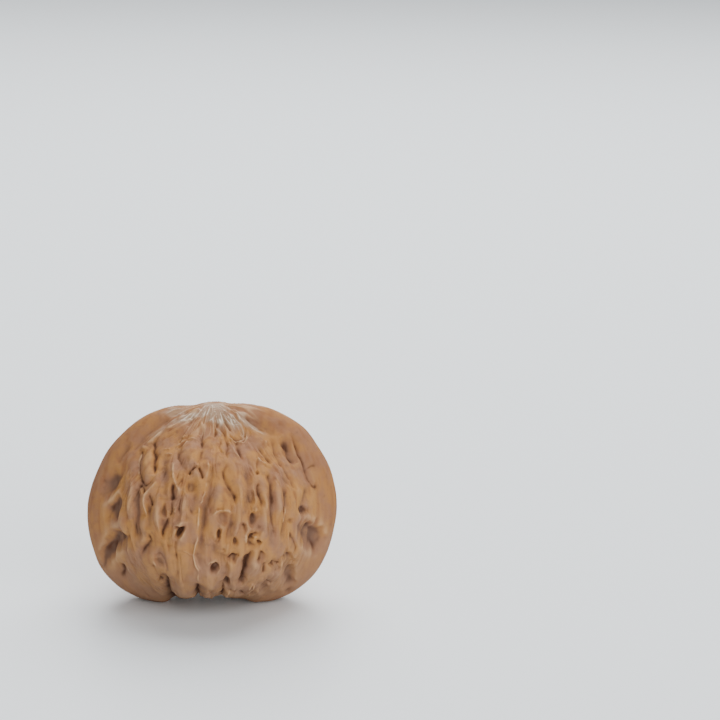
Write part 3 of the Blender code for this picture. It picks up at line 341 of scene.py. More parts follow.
PLATES: tuple[Oval, ...] = (
    Oval(-11.8, 24.6, 0.95, 3.2, 0, 0.75),
    Oval(-3.6, 26.6, 1.5, 2.6, 0, 0.7),
    Oval(-3.0, 22.8, 0.8, 1.3, 0, 0.35),
    Oval(0.9, 19.3, 1.1, 2.4, 0, 0.35),
    Oval(4.4, 22.6, 1.4, 2.0, 0, 0.35),
    Oval(4.3, 30.4, 1.2, 1.1, -20, -0.25),
    Oval(-17.3, 7.2, 1.0, 2.2, 15, 0.4),
    Oval(-5.0, 3.9, 2.1, 3.4, 0, 0.85),
    Oval(-0.4, 3.0, 1.3, 2.4, 0, 0.65),
    Oval(2.3, 1.2, 0.6, 1.1, 0, 0.4),
    Oval(3.9, 5.6, 1.1, 1.8, 0, 0.35),
    Oval(-4.9, 11.0, 1.0, 1.8, 0, 0.3),
    Oval(-5.2, 17.0, 1.0, 2.2, 10, 0.35),
    Oval(8.1, 5.6, 0.9, 1.8, -10, 0.45),
    Oval(-7.6, 10.4, 1.1, 2.6, 0, 0.5),
    Oval(9.8, 27.4, 0.9, 1.5, -30, 0.3),
    Oval(18.3, 22.4, 1.0, 1.6, -20, 0.3),
    Oval(-12.5, 27.95, 0.38, 0.38, 0, 0.5),
    Oval(9.8, 28.9, 0.4, 0.4, 0, 0.45),
)

# Pale patches round the point and along the shoulders' crests: the point's pale colour with painted
# highlight.
PALE_AND_HIGHLIGHT: tuple[Oval, ...] = (
    Oval(0.8, 35.1, 2.4, 1.0, 0, 0.75),
    Oval(0.2, 34.0, 3.4, 0.9, 0, 0.75),
    Oval(-4.8, 33.0, 3.6, 0.8, -18, 0.75),
    Oval(-9.6, 30.8, 2.2, 0.7, -36, 0.5),
    Oval(-6.6, 34.3, 2.6, 0.7, -10, 0.6),
    Oval(6.6, 32.2, 3.8, 0.8, 38, 0.7),
    Oval(-0.3, 33.0, 0.9, 0.8, 0, 0.8),
    Oval(1.5, 32.9, 0.8, 1.5, 0, 0.8),
    Oval(3.7, 32.5, 0.9, 2.2, -52, 0.8),
    Oval(1.3, 30.9, 0.35, 0.7, -30, 0.6),
    Oval(5.5, 30.3, 0.5, 1.3, 0, 0.45),
)


class Belly(Enum):
    """The shell's two wrinkled sides, by the turn in degrees from which each is seen."""

    FRONT = 0.0
    BACK = 180.0


def unit(vectors: Array) -> Array:
    """Scale each row to length one."""
    return vectors / np.linalg.norm(vectors, axis=1)[:, None]


def smooth_step(low: float, high: float, values: Array) -> Array:
    """Rise from 0 at low to 1 at high with no corner at either end."""
    share = np.clip((values - low) / (high - low), 0.0, 1.0)
    return share * share * (3.0 - 2.0 * share)


def closed_curve(table: tuple[Corner, ...], degrees: Array) -> Array:
    """Read a smooth closed curve at any angle.

    Args:
        table: Pairs of degrees and value, in order round the curve.
        degrees: The angles to read.

    Returns:
        The curve's value at each angle.
    """
    angles = np.array([row[0] for row in table], float)
    values = np.tile(np.array([row[1] for row in table], float), 3)
    angles = np.concatenate([angles - 360.0, angles, angles + 360.0])
    slopes = np.gradient(values, angles)
    place = np.mod(degrees, 360.0)
    first = np.clip(np.searchsorted(angles, place, side="right") - 1, 0, len(angles) - 2)
    gap = angles[first + 1] - angles[first]
    t = (place - angles[first]) / gap
    return (
        (2 * t**3 - 3 * t**2 + 1) * values[first]
        + (t**3 - 2 * t**2 + t) * gap * slopes[first]
        + (3 * t**2 - 2 * t**3) * values[first + 1]
        + (t**3 - t**2) * gap * slopes[first + 1]
    )


def smooth_line(corners: Array, step: float = 0.4) -> Array:
    """Draw a smooth line with close points through given corners.

    Args:
        corners: Two or more corners, one to a row.
        step: The distance between the points, in millimetres.

    Returns:
        The line's points, one to a row.
    """
    if len(corners) == 2:
        corners = np.insert(corners, 1, corners.mean(axis=0), axis=0)
    held = np.vstack([2 * corners[0] - corners[1], corners, 2 * corners[-1] - corners[-2]])
    pieces = []
    for before, start, stop, after in zip(held, held[1:], held[2:], held[3:]):
        count = max(2, int(np.linalg.norm(stop - start) / step))
        t = np.linspace(0.0, 1.0, count, endpoint=False)[:, None]
        bend = (2 * before - 5 * start + 4 * stop - after) * t**2
        turn = (3 * start - before - 3 * stop + after) * t**3
        pieces.append(0.5 * (2 * start + (stop - before) * t + bend + turn))
    return np.vstack([*pieces, corners[-1:]])


def near_line(points: Array, line: Array, reach: float) -> tuple[Array, Array, Array]:
    """Find the points within reach of a line.

    Args:
        points: Points of the shell, one to a row.
        line: The line's points, in order.
        reach: How far from the line to look.

    Returns:
        Which points they are, how far off each is, and how far along the line it lies from 0 to 1.
    """
    low = line.min(axis=0) - reach
    high = line.max(axis=0) + reach
    chosen = np.nonzero(np.all((points > low) & (points < high), axis=1))[0]
    spans = np.diff(line, axis=0)
    lengths = np.linalg.norm(spans, axis=1)
    starts = np.concatenate([[0.0], np.cumsum(lengths)])[:-1]
    nearest = np.full(len(chosen), reach)
    along = np.zeros(len(chosen))
    for corner, span, length, start in zip(line, spans, lengths, starts):
        offset = points[chosen] - corner
        share = np.clip((offset @ span) / length**2, 0.0, 1.0)
        distance = np.linalg.norm(offset - share[:, None] * span, axis=1)
        closer = distance < nearest
        nearest[closer] = distance[closer]
        along[closer] = start + share[closer] * length
    kept = nearest < reach
    return chosen[kept], nearest[kept], along[kept] / lengths.sum()


def overlay(total: Array, chosen: Array, values: Array, power: float = 3.0) -> None:
    """Add a stroke to a total so that where two cross the deeper one wins smoothly.

    Args:
        total: The height so far at every point, changed in place.
        chosen: The points that the stroke reaches.
        values: The stroke's height at them.
        power: How sharply the deeper one wins.
    """
    total[chosen] = (total[chosen] ** power + values**power) ** (1.0 / power)


def end_fade(along: Array, share: float = 0.18, power: float = 0.6) -> Array:
    """1 along a stroke's middle, falling to 0 at its two ends."""
    return np.clip(np.minimum(along, 1.0 - along) / share, 0.0, 1.0) ** power


def noise_at(points: Array, size: float, shift: float = 0.0) -> Array:
    """Smooth noise of a given size in millimetres, from about -1 to 1, at each point."""
    spots = points / size + shift
    return np.array([noise.noise(Vector(spot)) for spot in spots])


@dataclass(frozen=True)
class SmoothForm:
    """The shell without its wrinkles: a thick flange in the seam's plane, blended with two bellies.

    Radii are measured from the middle, in millimetres. The seam's outline and the flange's half
    thickness at its root are given against degrees from +X towards +Z.
    """

    middle_height: float = 17.6
    seam_outline: tuple[Corner, ...] = (
        (0, 22.67), (10, 22.51), (20, 22.33), (30, 22.03), (40, 21.99), (50, 21.42), (60, 20.79),
        (70, 19.81), (80, 19.01), (90, 18.81), (100, 18.48), (110, 19.44), (120, 20.2), (130, 20.61),
        (140, 20.85), (150, 21.25), (160, 21.48), (170, 21.92), (180, 22.45), (190, 22.73),
        (200, 22.99), (210, 23.29), (220, 22.95), (230, 22.1), (238, 21.1), (244, 20.22),
        (249, 18.65), (256, 17.7), (270, 17.0), (284, 17.59), (289, 18.25), (293, 19.5), (299, 20.62),
        (305, 21.35), (315, 22.2), (325, 22.71), (335, 22.75), (347, 22.55),
    )
    flange_thickness: tuple[Corner, ...] = (
        (0, 9.8), (35, 9.5), (60, 8.0), (90, 7.5), (120, 8.0), (145, 9.5), (180, 9.8),
        (215, 9.6), (238, 10.3), (250, 8.8), (270, 7.5), (288, 8.8), (301, 10.3), (325, 9.6),
    )
    belly_width: float = 18.8
    belly_depth: float = 19.6
    belly_rise: float = 15.7
    belly_drop: float = 16.2
    belly_power: float = 2.15
    belly_power_change: float = 0.15
    seam_blend: float = 1.3
    seam_blend_level: float = 0.16
    point_height: float = 0.9
    point_spread: float = 15.0
    point_seam_loss: float = 0.75
    point_seam_width: float = 0.14

    def radius(self, directions: Array) -> Array:
        """Blend the flange and the bellies, and raise the point.

        Args:
            directions: Unit vectors from the middle, one to a row.

        Returns:
            The distance from the middle to the smooth shell along each.
        """
        x, y, z = directions.T
        around = np.degrees(np.arctan2(z, x))
        thickness = closed_curve(self.flange_thickness, around)
        seam = closed_curve(self.seam_outline, around)
        flange = ((np.hypot(x, z) / seam) ** 2 + (y / thickness) ** 2) ** -0.5
        reach = np.where(z > 0.0, self.belly_rise, self.belly_drop)
        power = self.belly_power - self.belly_power_change * z
        belly = (
            np.abs(x / self.belly_width) ** power
            + np.abs(y / self.belly_depth) ** power
            + np.abs(z / reach) ** power
        ) ** (-1.0 / power)
        outer = np.maximum(flange, belly)
        inner = np.minimum(flange, belly)
        fillet = np.log1p(np.exp((inner - outer) / self.seam_blend)) - self.seam_blend_level
        from_point = np.degrees(np.arccos(np.clip(z, -1.0, 1.0)))
        off_seam = 1.0 - self.point_seam_loss * np.exp(-((y / self.point_seam_width) ** 2))
        point = self.point_height * np.exp(-((from_point / self.point_spread) ** 2)) * off_seam
        return outer + self.seam_blend * fillet + point

    def points(self, directions: Array) -> Array:
        """Points of the smooth shell along directions from its middle."""
        points = directions * self.radius(directions)[:, None]
        points[:, 2] += self.middle_height
        return points

    def normals(self, directions: Array, step: float = 0.001) -> Array:
        """Work out the smooth shell's outward normals from four near points.

        Args:
            directions: Unit vectors from the middle, one to a row.
            step: How far to the sides the near directions lie.

        Returns:
            The normals, one to a row.
        """
        level = np.abs(directions[:, 2:3]) < 0.9
        helper = np.where(level, np.array([[0.0, 0.0, 1.0]]), np.array([[1.0, 0.0, 0.0]]))
        first = unit(np.cross(helper, directions))
        second = np.cross(directions, first)
        spans = []
        for side in (first * step, second * step):
            spans.append(self.points(unit(directions + side)) - self.points(unit(directions - side)))
        return unit(np.cross(*spans))


@dataclass(frozen=True)
class DrawingPlane:
    """The plane on which one belly's lines and ovals are placed, and the way from it to the shell.

    It is seen from an eye at a distance in millimetres and an elevation in degrees. Its origin lies
    foot_rise above the foot. On the back belly the places wander by up to back_wander.
    """

    form: SmoothForm
    belly: Belly
    distance: float = 620.0
    elevation: float = 17.5
    foot_rise: float = 0.4
    back_wander: float = 1.6
    wander_size: float = 8.3
    wander_slice: float = 3.1
    sideways: float = 0.4
    search_reach: float = 32.0
    search_rounds: int = 24

    @property
    def mirror(self) -> float:
        """-1 where the belly has the other one's pattern the other way round."""
        return -1.0 if self.belly is Belly.BACK else 1.0

    @property
    def right(self) -> Array:
        """The direction of u."""
        turn = math.radians(self.belly.value)
        return np.array([math.cos(turn), math.sin(turn), 0.0])

    @property
    def toward(self) -> Array:
        """The direction from the foot to the eye."""
        turn = math.radians(self.belly.value)
        rise = math.radians(self.elevation)
        return np.array(
            [math.sin(turn) * math.cos(rise), -math.cos(turn) * math.cos(rise), math.sin(rise)]
        )

    @property
    def up(self) -> Array:
        """The direction of v."""
        return np.cross(self.toward, self.right)

    def placed(self, corners: tuple[Corner, ...]) -> Array:
        """Given corners as they lie on this belly.

        Args:
            corners: Corners as drawn for the front belly.

        Returns:
            The corners, one to a row. On the back belly they are mirrored and wander a little.
        """
        flat = np.array(corners, float)
        if self.belly is Belly.FRONT:
            return flat
        for row in flat:
            spot = Vector((row[0], row[1], self.wander_size * self.wander_slice)) / self.wander_size
            shift = noise.noise_vector(spot) * self.back_wander
            row[:] = (-row[0] + shift.x, row[1] + shift.y)
        return flat

    def project(self, points: Array) -> tuple[Array, Array]:
        """Where points of the shell appear on the plane, as u and v."""
        scale = self.distance / (self.distance - points @ self.toward)
        return (points @ self.right) * scale, (points @ self.up) * scale + self.foot_rise

    def outward(self, points: Array) -> Array:
        """The way in which the drawn relief is raised: from the middle, but less to the sides."""
        return unit(points - [0.0, 0.0, self.form.middle_height]) * [self.sideways, 1.0, 1.0]

    def cast(self, flat: Array, height: float) -> Array:
        """Find the points of the smooth shell that appear at places on the plane once they are raised.

        Args:
            flat: Places on the plane, one to a row.
            height: How far the points will be raised. Below 0 they will be sunk.

        Returns:
            The points before they are raised, one to a row.
        """
        level = self.reached(flat)
        shown = np.array(self.project(level + self.outward(level) * height)).T
        return self.reached(2.0 * flat - shown)

    def reached(self, flat: Array) -> Array:
        """The points of the smooth shell that appear at places on the plane, one to a row."""
        middle = np.array([0.0, 0.0, self.form.middle_height])
        start = flat[:, :1] * self.right + (flat[:, 1:] - self.foot_rise) * self.up
        ray = unit(self.toward * self.distance - start)
        inside = np.zeros(len(flat))
        outside = np.full(len(flat), self.search_reach)
        for _ in range(self.search_rounds):
            half = (inside + outside) / 2.0
            offset = start + ray * half[:, None] - middle
            held = np.linalg.norm(offset, axis=1) <= self.form.radius(unit(offset))
            inside = np.where(held, half, inside)
            outside = np.where(held, outside, half)
        return self.form.points(unit(start + ray * inside[:, None] - middle))

    def drawn(self, line: Line, height: float) -> Array:
        """A line's close points on the smooth shell, placed to be raised by a height."""
        return self.cast(smooth_line(self.placed(line.corners)), height)

    def oval_distance(self, u: Array, v: Array, oval: Oval) -> Array:
        """The distance from an oval's centre on the plane, where 1 is its outline."""
        centre = self.placed(((oval.u, oval.v),))[0]
        turn = math.radians(oval.lean) * self.mirror
        du = u - centre[0]
        dv = v - centre[1]
        across = du * math.cos(turn) - dv * math.sin(turn)
        along = du * math.sin(turn) + dv * math.cos(turn)
        return np.hypot(across / oval.half_width, along / oval.half_height)


@dataclass
class Marks:
    """Heights in millimetres at the shell's points, and two marks from 0 to 1 for the finish.

    What has grown everywhere is raised straight from the shell's middle, and what is drawn on a belly
    goes the way that its drawing plane gives. The vein mark lies on thin raised crests and gives them
    pale colour and painted highlight. The line mark lies on the bottoms of grooves and wrinkles and
    gives them their own dark colour with painted shade.
    """

    cut: Array
    hollow: Array
    ridge: Array
    plate: Array
    growth: Array
    vein_and_highlight: Array
    line: Array

    @classmethod
    def blank(cls, count: int) -> "Marks":
        """Marks with no height anywhere."""
        return cls(*(np.zeros(count) for _ in fields(cls)))

    def sunk(self) -> Array:
        """How deep the grooves and hollows go together."""
        return (self.cut**3 + self.hollow**3) ** (1.0 / 3.0)

    def drawn(self) -> Array:
        """The relief that is drawn on the bellies."""
        return self.plate + self.ridge - self.sunk()


@dataclass(frozen=True)
class Relief:
    """Everything that is raised from the smooth shell or cut into it.

    Heights, depths, widths and sizes are in millimetres, apart from the widths and sizes of pillows,
    wrinkles and the fan, which are those of their noise. A pair of numbers is where something starts
    and where it is full.
    """

    form: SmoothForm
    # A stroke ends at this many of its widths. A groove is a narrow core between broad banks.
    stroke_widths: float = 2.8
    groove_reach: float = 0.95
    groove_core: float = 0.4
    groove_core_power: float = 1.5
    groove_bank: float = 0.85
    groove_width: float = 0.8
    groove_end_width: float = 0.6
    # A groove or hollow is placed so that it looks right when it is this share of its depth down.
    sunk_share: float = 0.8
    hollow_share: float = 1.1
    hollow_inside: float = 0.9
    hollow_outside: float = 0.6
    valley_share: float = 1.2
    plate_fall: float = 0.9
    plate_power: float = 2.6
    # The ovals fade out where the belly turns away from its plane.
    facing: tuple[float, float] = (0.02, 0.2)
    # Strokes wander, and the outlines of ovals are uneven.
    wander: float = 0.32
    wander_size: float = 1.7
    unevenness: float = 0.25
    uneven_size: float = 1.7
    # Towards the point, between the outer strokes, the front belly is calmer.
    shoulder_calm: float = 0.6
    shoulder_rise: tuple[float, float] = (23.0, 29.0)
    shoulder_sides: tuple[float, float] = (7.0, 12.0)
    # Ridges narrower than this are veins, broken along their length, with pale colour and painted highlight
    # on the crest.
    vein_width: float = 0.45
    vein_core: float = 0.55
    crest_size: float = 1.1
    crest_change: float = 0.8
    crest_range: tuple[float, float] = (0.2, 1.6)
    crest_full: float = 0.45
    # The dark line on the bottom of a groove: its own dark colour with painted shade over it.
    line_width: float = 0.34
    line_level: float = 0.9
    line_range: tuple[float, float] = (0.3, 1.3)
    # Long pillows, bent a little, with smaller ones on them. The back has higher ones.
    front_pillow: float = 1.0
    back_pillow: float = 1.6
    back_blend: float = 4.0
    pillow_level: float = 0.28
    pillows_round: float = 5.8
    pillows_along: float = 2.4
    pillow_bend: float = 0.9
    pillow_bend_size: float = 0.7
    small_pillow: float = 0.3
    small_pillow_size: float = 2.1
    seam_margin: tuple[float, float] = (0.12, 0.5)
    axis_margin: tuple[float, float] = (0.25, 0.6)
    # Fine wrinkles, drawn out from the point to the base, that come and go.
    wrinkle_depth: float = 0.24
    wrinkle_size: float = 2.6
    wrinkle_length: float = 0.35
    wrinkle_width: float = 0.11
    wrinkle_level: float = 0.35
    wrinkle_change: float = 1.6
    wrinkle_patch: float = 3.1
    wrinkle_line: float = 0.7
    # Low knobs all over, lower on the seam.
    knob_height: float = 0.14
    knob_size: tuple[float, float] = (2.4, 3.0)
    knob_on_seam: float = 0.25
    # Fine ridges that fan out round the point, with pale colour and painted glints on their crests.
    fan_height: float = 0.15
    fan_size: float = 1.8
    fan_length: float = 0.6
    fan_crest: float = 0.16
    fan_rise: tuple[float, float] = (0.84, 0.95)
    fan_middle: tuple[float, float] = (0.03, 0.1)
    fan_paleness_and_highlight: float = 0.8
    # The thin line where the halves meet, and a line of painted highlight beside it over the top.
    seam_line_depth: float = 0.16
    seam_line_width: float = 0.28
    seam_wander: float = 0.35
    seam_wander_size: float = 5.0
    seam_highlight_place: float = 0.5
    seam_highlight_width: float = 0.45
    seam_highlight_rise: tuple[float, float] = (0.6, 0.85)
    seam_highlight_level: float = 0.5
    seam_highlight_most: float = 0.8
    seam_highlight_size: float = 2.0
    # The stem's scar, hollow under the base.
    scar_depth: float = 0.9
    scar_reach: float = 0.17

    def raised(self, directions: Array, marks: Marks) -> Array:
        """Move the smooth shell's points by the relief.

        Args:
            directions: Unit vectors from the shell's middle.
            marks: The relief along them.

        Returns:
            The moved points.
        """
        smooth = self.form.points(directions)
        way = DrawingPlane(self.form, Belly.FRONT).outward(smooth)
        return smooth + directions * marks.growth[:, None] + way * marks.drawn()[:, None]

    def marks(self, directions: Array) -> Marks:
        """Work out the relief along directions from the shell's middle.

        Args:
            directions: Unit vectors, one to a row.

        Returns:
            The heights at each of them.
        """
        smooth = self.form.points(directions)
        normals = self.form.normals(directions)
        shifts = [noise.noise_vector(Vector(point) / self.wander_size) for point in smooth]
        wandered = smooth + np.array(shifts) * self.wander
        marks = Marks.blank(len(directions))
        for belly in Belly:
            plane = DrawingPlane(self.form, belly)
            self.draw_lines(marks, wandered, plane)
            self.draw_ovals(marks, wandered, normals, plane)
        self.grow(marks, directions, smooth)
        return marks

    def draw_lines(self, marks: Marks, points: Array, plane: DrawingPlane) -> None:
        """Cut one belly's grooves and valleys, and raise its ridges.

        Args:
            marks: The relief so far, changed in place.
            points: Points of the smooth shell.
            plane: The belly's drawing plane.
        """
        for line in GROOVES:
            reach = self.stroke_widths * self.groove_reach
            drawn = plane.drawn(line, -self.sunk_share * line.height)
            chosen, distance, along = near_line(points, drawn, reach)
            taper = end_fade(along)
            full_width = self.groove_width * line.width
            width = full_width * (self.groove_end_width + (1.0 - self.groove_end_width) * taper)
            core = self.groove_core * np.exp(-np.abs(distance / width) ** self.groove_core_power)
            bank = self.groove_bank * np.exp(-distance / self.groove_reach)
            off_middle = smooth_step(*self.shoulder_sides, np.abs(points[chosen, 0]))
            high = smooth_step(*self.shoulder_rise, points[chosen, 2])
            bank *= 1.0 - self.shoulder_calm * high * (1.0 - off_middle)
            ending = (1.0 - (distance / reach) ** 2) ** 2
            overlay(marks.cut, chosen, line.height * taper * ending * (core + bank))
            # The groove's dark bottom line: its own colour with painted shade in the crease.
            fine = np.exp(-((distance / self.line_width) ** 2)) * taper * min(1.0, line.height)
            broken = noise_at(points[chosen], self.crest_size)
            fine *= np.clip(self.line_level + broken, *self.line_range)
            marks.line[chosen] = np.maximum(marks.line[chosen], fine)
        for total, lines, share in ((marks.cut, VALLEYS, -self.valley_share), (marks.ridge, RIDGES, 1.0)):
            for line in lines:
                reach = self.stroke_widths * line.width
                drawn = plane.drawn(line, share * line.height)
                chosen, distance, along = near_line(points, drawn, reach)
                height = abs(share) * line.height * end_fade(along)
                # Thin ridges get pale colour with painted highlight along the crest.
                if lines is RIDGES and line.width < self.vein_width:
                    broken = noise_at(points[chosen], self.crest_size)
                    height *= np.clip(1.0 + self.crest_change * broken, *self.crest_range)
                    pale_and_highlight = np.exp(-((distance / (self.vein_core * line.width)) ** 2))
                    overlay(marks.vein_and_highlight, chosen, height / self.crest_full * pale_and_highlight)
                overlay(total, chosen, height * np.exp(-((distance / line.width) ** 2)))

    def draw_ovals(self, marks: Marks, points: Array, normals: Array, plane: DrawingPlane) -> None:
        """Sink one belly's hollows and raise its plates.

        Args:
            marks: The relief so far, changed in place.
            points: Points of the smooth shell.
            normals: Its outward normals there.
            plane: The belly's drawing plane.
        """
        facing = normals @ plane.toward
        front = np.nonzero(facing > self.facing[0])[0]
        shown = smooth_step(*self.facing, facing[front])
        flat = np.array(plane.project(points[front]))
        lift = np.array(plane.project(points[front] + plane.outward(points[front]))) - flat
        uneven = 1.0 + self.unevenness * noise_at(points[front], self.uneven_size)
        for oval in HOLLOWS:
            u, v = flat - lift * self.sunk_share * oval.height
            distance = plane.oval_distance(u, v, oval) * uneven
            floor = 1.0 - self.hollow_inside * oval.softness
            brim = 1.0 + self.hollow_outside * oval.softness
            bowl = 1.0 - smooth_step(floor, brim, distance)
            overlay(marks.hollow, front, self.hollow_share * oval.height * shown * bowl)
        for oval in PLATES:
            distance = plane.oval_distance(*(flat + lift * oval.height), oval) * uneven
            dome = np.exp(-self.plate_fall * distance**self.plate_power)
            marks.plate[front] += oval.height * shown * dome

    def grow(self, marks: Marks, directions: Array, smooth: Array) -> None:
        """Add what growth leaves everywhere.

        Args:
            marks: The relief so far, changed in place.
            directions: Unit vectors from the shell's middle.
            smooth: Points of the smooth shell along them.
        """
        x, y, z = directions.T
        ring = np.hypot(x, y)
        pillow, wrinkle, knob, fan = self.growth_noise(directions)
        off_seam = smooth_step(*self.seam_margin, np.abs(y) / np.maximum(ring, 1e-6))
        off_axis = smooth_step(*self.axis_margin, ring)
        back = smooth_step(-self.back_blend, self.back_blend, smooth[:, 1])
        high = smooth_step(*self.shoulder_rise, smooth[:, 2])
        shoulder = 1.0 - self.shoulder_calm * high * (1.0 - back)
        swell = (self.front_pillow + (self.back_pillow - self.front_pillow) * back) * shoulder
        marks.growth += swell * pillow * off_seam * off_axis
        self.grow_wrinkles(marks, wrinkle, off_seam * off_axis, smooth)
        on_seam = self.knob_on_seam + (1.0 - self.knob_on_seam) * off_seam
        marks.growth += self.knob_height * knob * on_seam * off_axis * shoulder
        self.grow_fan(marks, fan, z, ring)
        self.grow_seam(marks, z, smooth)
        under = np.where(z < 0.0, ring, 1.0)
        marks.growth -= self.scar_depth * np.exp(-((under / self.scar_reach) ** 4))

    def growth_noise(self, directions: Array) -> Array:
        """Read four patterns that run from the point to the base.

        Args:
            directions: Unit vectors from the shell's middle.

        Returns:
            Four rows: the pillows, the wrinkles, the knobs and the fan.
        """
        x, y, z = directions.T
        ring = np.hypot(x, y)
        around = np.stack([x, y]) / np.maximum(ring, 1e-6) * self.pillows_round
        down = np.arccos(np.clip(z, -1.0, 1.0)) * self.pillows_along
        across, along = self.knob_size
        rows = np.empty((4, len(directions)))
        for index in range(len(directions)):
            spot = Vector((around[0, index], around[1, index], down[index]))
            bend = noise.noise_vector(spot * self.pillow_bend_size)
            spot += Vector((bend.x, bend.y, 0.0)) * self.pillow_bend
            small = abs(noise.noise(spot * self.small_pillow_size))
            drawn_out = Vector((spot.x, spot.y, spot.z * self.wrinkle_length))
            fanned = Vector((spot.x, spot.y, spot.z * self.fan_length))
            rows[:, index] = (
                abs(noise.noise(spot)) + self.small_pillow * small - self.pillow_level,
                noise.noise(drawn_out * self.wrinkle_size),
                noise.noise(Vector((spot.x * across, spot.y * across, spot.z * along)) + LIFT),
                noise.noise(fanned * self.fan_size + LIFT),
            )
        return rows

    def grow_wrinkles(self, marks: Marks, wrinkle: Array, clear: Array, smooth: Array) -> None:
        """Sink fine wrinkles where their pattern crosses 0.

        Args:
            marks: The relief so far, changed in place.
            wrinkle: The wrinkles' pattern.
            clear: 1 where they are free to grow, down to 0 on the seam and round the axis.
            smooth: Points of the smooth shell.
        """
        wrinkled = np.exp(-((wrinkle / self.wrinkle_width) ** 2)) * clear
        patch = noise_at(smooth, self.wrinkle_patch, 9.0)
        wrinkled *= np.clip(self.wrinkle_level + self.wrinkle_change * patch, 0.0, 1.0)
        marks.growth -= self.wrinkle_depth * wrinkled
        # The wrinkles' bottoms get the dark line too: their own colour with painted shade.
        marks.line = np.maximum(marks.line, self.wrinkle_line * wrinkled)

    def grow_fan(self, marks: Marks, fan: Array, z: Array, ring: Array) -> None:
        """Raise fine ridges round the point where their pattern crosses 0, and mark their crests for pale
        colour and painted glints.

        Args:
            marks: The relief so far, changed in place.
            fan: The ridges' pattern.
            z: How steeply each direction from the middle rises.
            ring: How far each direction leans from the axis.
        """
        crest = np.exp(-((fan / self.fan_crest) ** 2))
        crest *= smooth_step(*self.fan_rise, z) * smooth_step(*self.fan_middle, ring)
        marks.growth += self.fan_height * crest
        marks.vein_and_highlight = np.maximum(marks.vein_and_highlight, self.fan_paleness_and_highlight * crest)

    def grow_seam(self, marks: Marks, z: Array, smooth: Array) -> None:
        """Sink the thin line where the halves meet, and mark a line of painted highlight beside it.

        Args:
            marks: The relief so far, changed in place.
            z: How steeply each direction from the middle rises.
            smooth: Points of the smooth shell.
        """
        middle = self.seam_wander * noise_at(smooth, self.seam_wander_size, 4.0)
        line = np.exp(-(((smooth[:, 1] - middle) / self.seam_line_width) ** 2))
        marks.growth -= self.seam_line_depth * line
        # A pale line of painted highlight along the seam's crest over the top.
        rim_highlight = np.exp(-(((smooth[:, 1] - self.seam_highlight_place) / self.seam_highlight_width) ** 2))
        rim_highlight *= smooth_step(*self.seam_highlight_rise, z)
        broken = self.seam_highlight_level + noise_at(smooth, self.seam_highlight_size)
        marks.vein_and_highlight = np.maximum(marks.vein_and_highlight, rim_highlight * np.clip(broken, 0.0, self.seam_highlight_most))


def from_hex(code: str) -> tuple[float, float, float, float]:
    """Turn an sRGB hex colour into a linear one with full alpha."""
    shares = [int(code[start : start + 2], 16) / 255 for start in (0, 2, 4)]
    red, green, blue = (
        share / 12.92 if share <= 0.04045 else ((share + 0.055) / 1.055) ** 2.4 for share in shares
    )
    return red, green, blue, 1.0


def add_node(
    tree: bpy.types.NodeTree, kind: str, settings: dict[str, object], inputs: dict[int | str, object]
) -> bpy.types.Node:
    """Add a shader node with its settings, and set or link its inputs.

    Args:
        tree: The material's node tree.
        kind: The node's type name.
        settings: Attributes of the node by name.
        inputs: Values, or sockets to link from, by input name or number.

    Returns:
        The new node.
    """
    node = tree.nodes.new(kind)
    for name, value in settings.items():
        setattr(node, name, value)
    for key, value in inputs.items():
        if isinstance(value, bpy.types.NodeSocket):
            tree.links.new(value, node.inputs[key])
        else:
            node.inputs[key].default_value = value
    return node


class Tone(Enum):
    """The shell's colours, as sRGB hex values."""

    LIGHT = "ab7946"
    MID = "986f54"
    RUDDY = "8a5b3c"
    # Grey-brown of dust, also used as painted shade in the valleys.
    DUST_AND_SHADE = "6c5244"
    BLOOM = "95765f"
    # Dark red-brown of the creases, also used as painted shade in them.
    CREASE = "4a2611"
    # Pale colour of worn crests, also used as painted highlight.
    WEAR_AND_HIGHLIGHT = "c29a70"
    # The point's pale colour, also used as painted highlight there.
    POINT = "a0866c"
    # Painted glint on the pale crests round the point.
    PAINTED_GLINT = "dfcdb6"


@dataclass(frozen=True)
class Coat:
    """A colour laid over those below it where a pattern or mark rises from low to high."""

    pattern: str
    low: float
    high: float
    tone: Tone


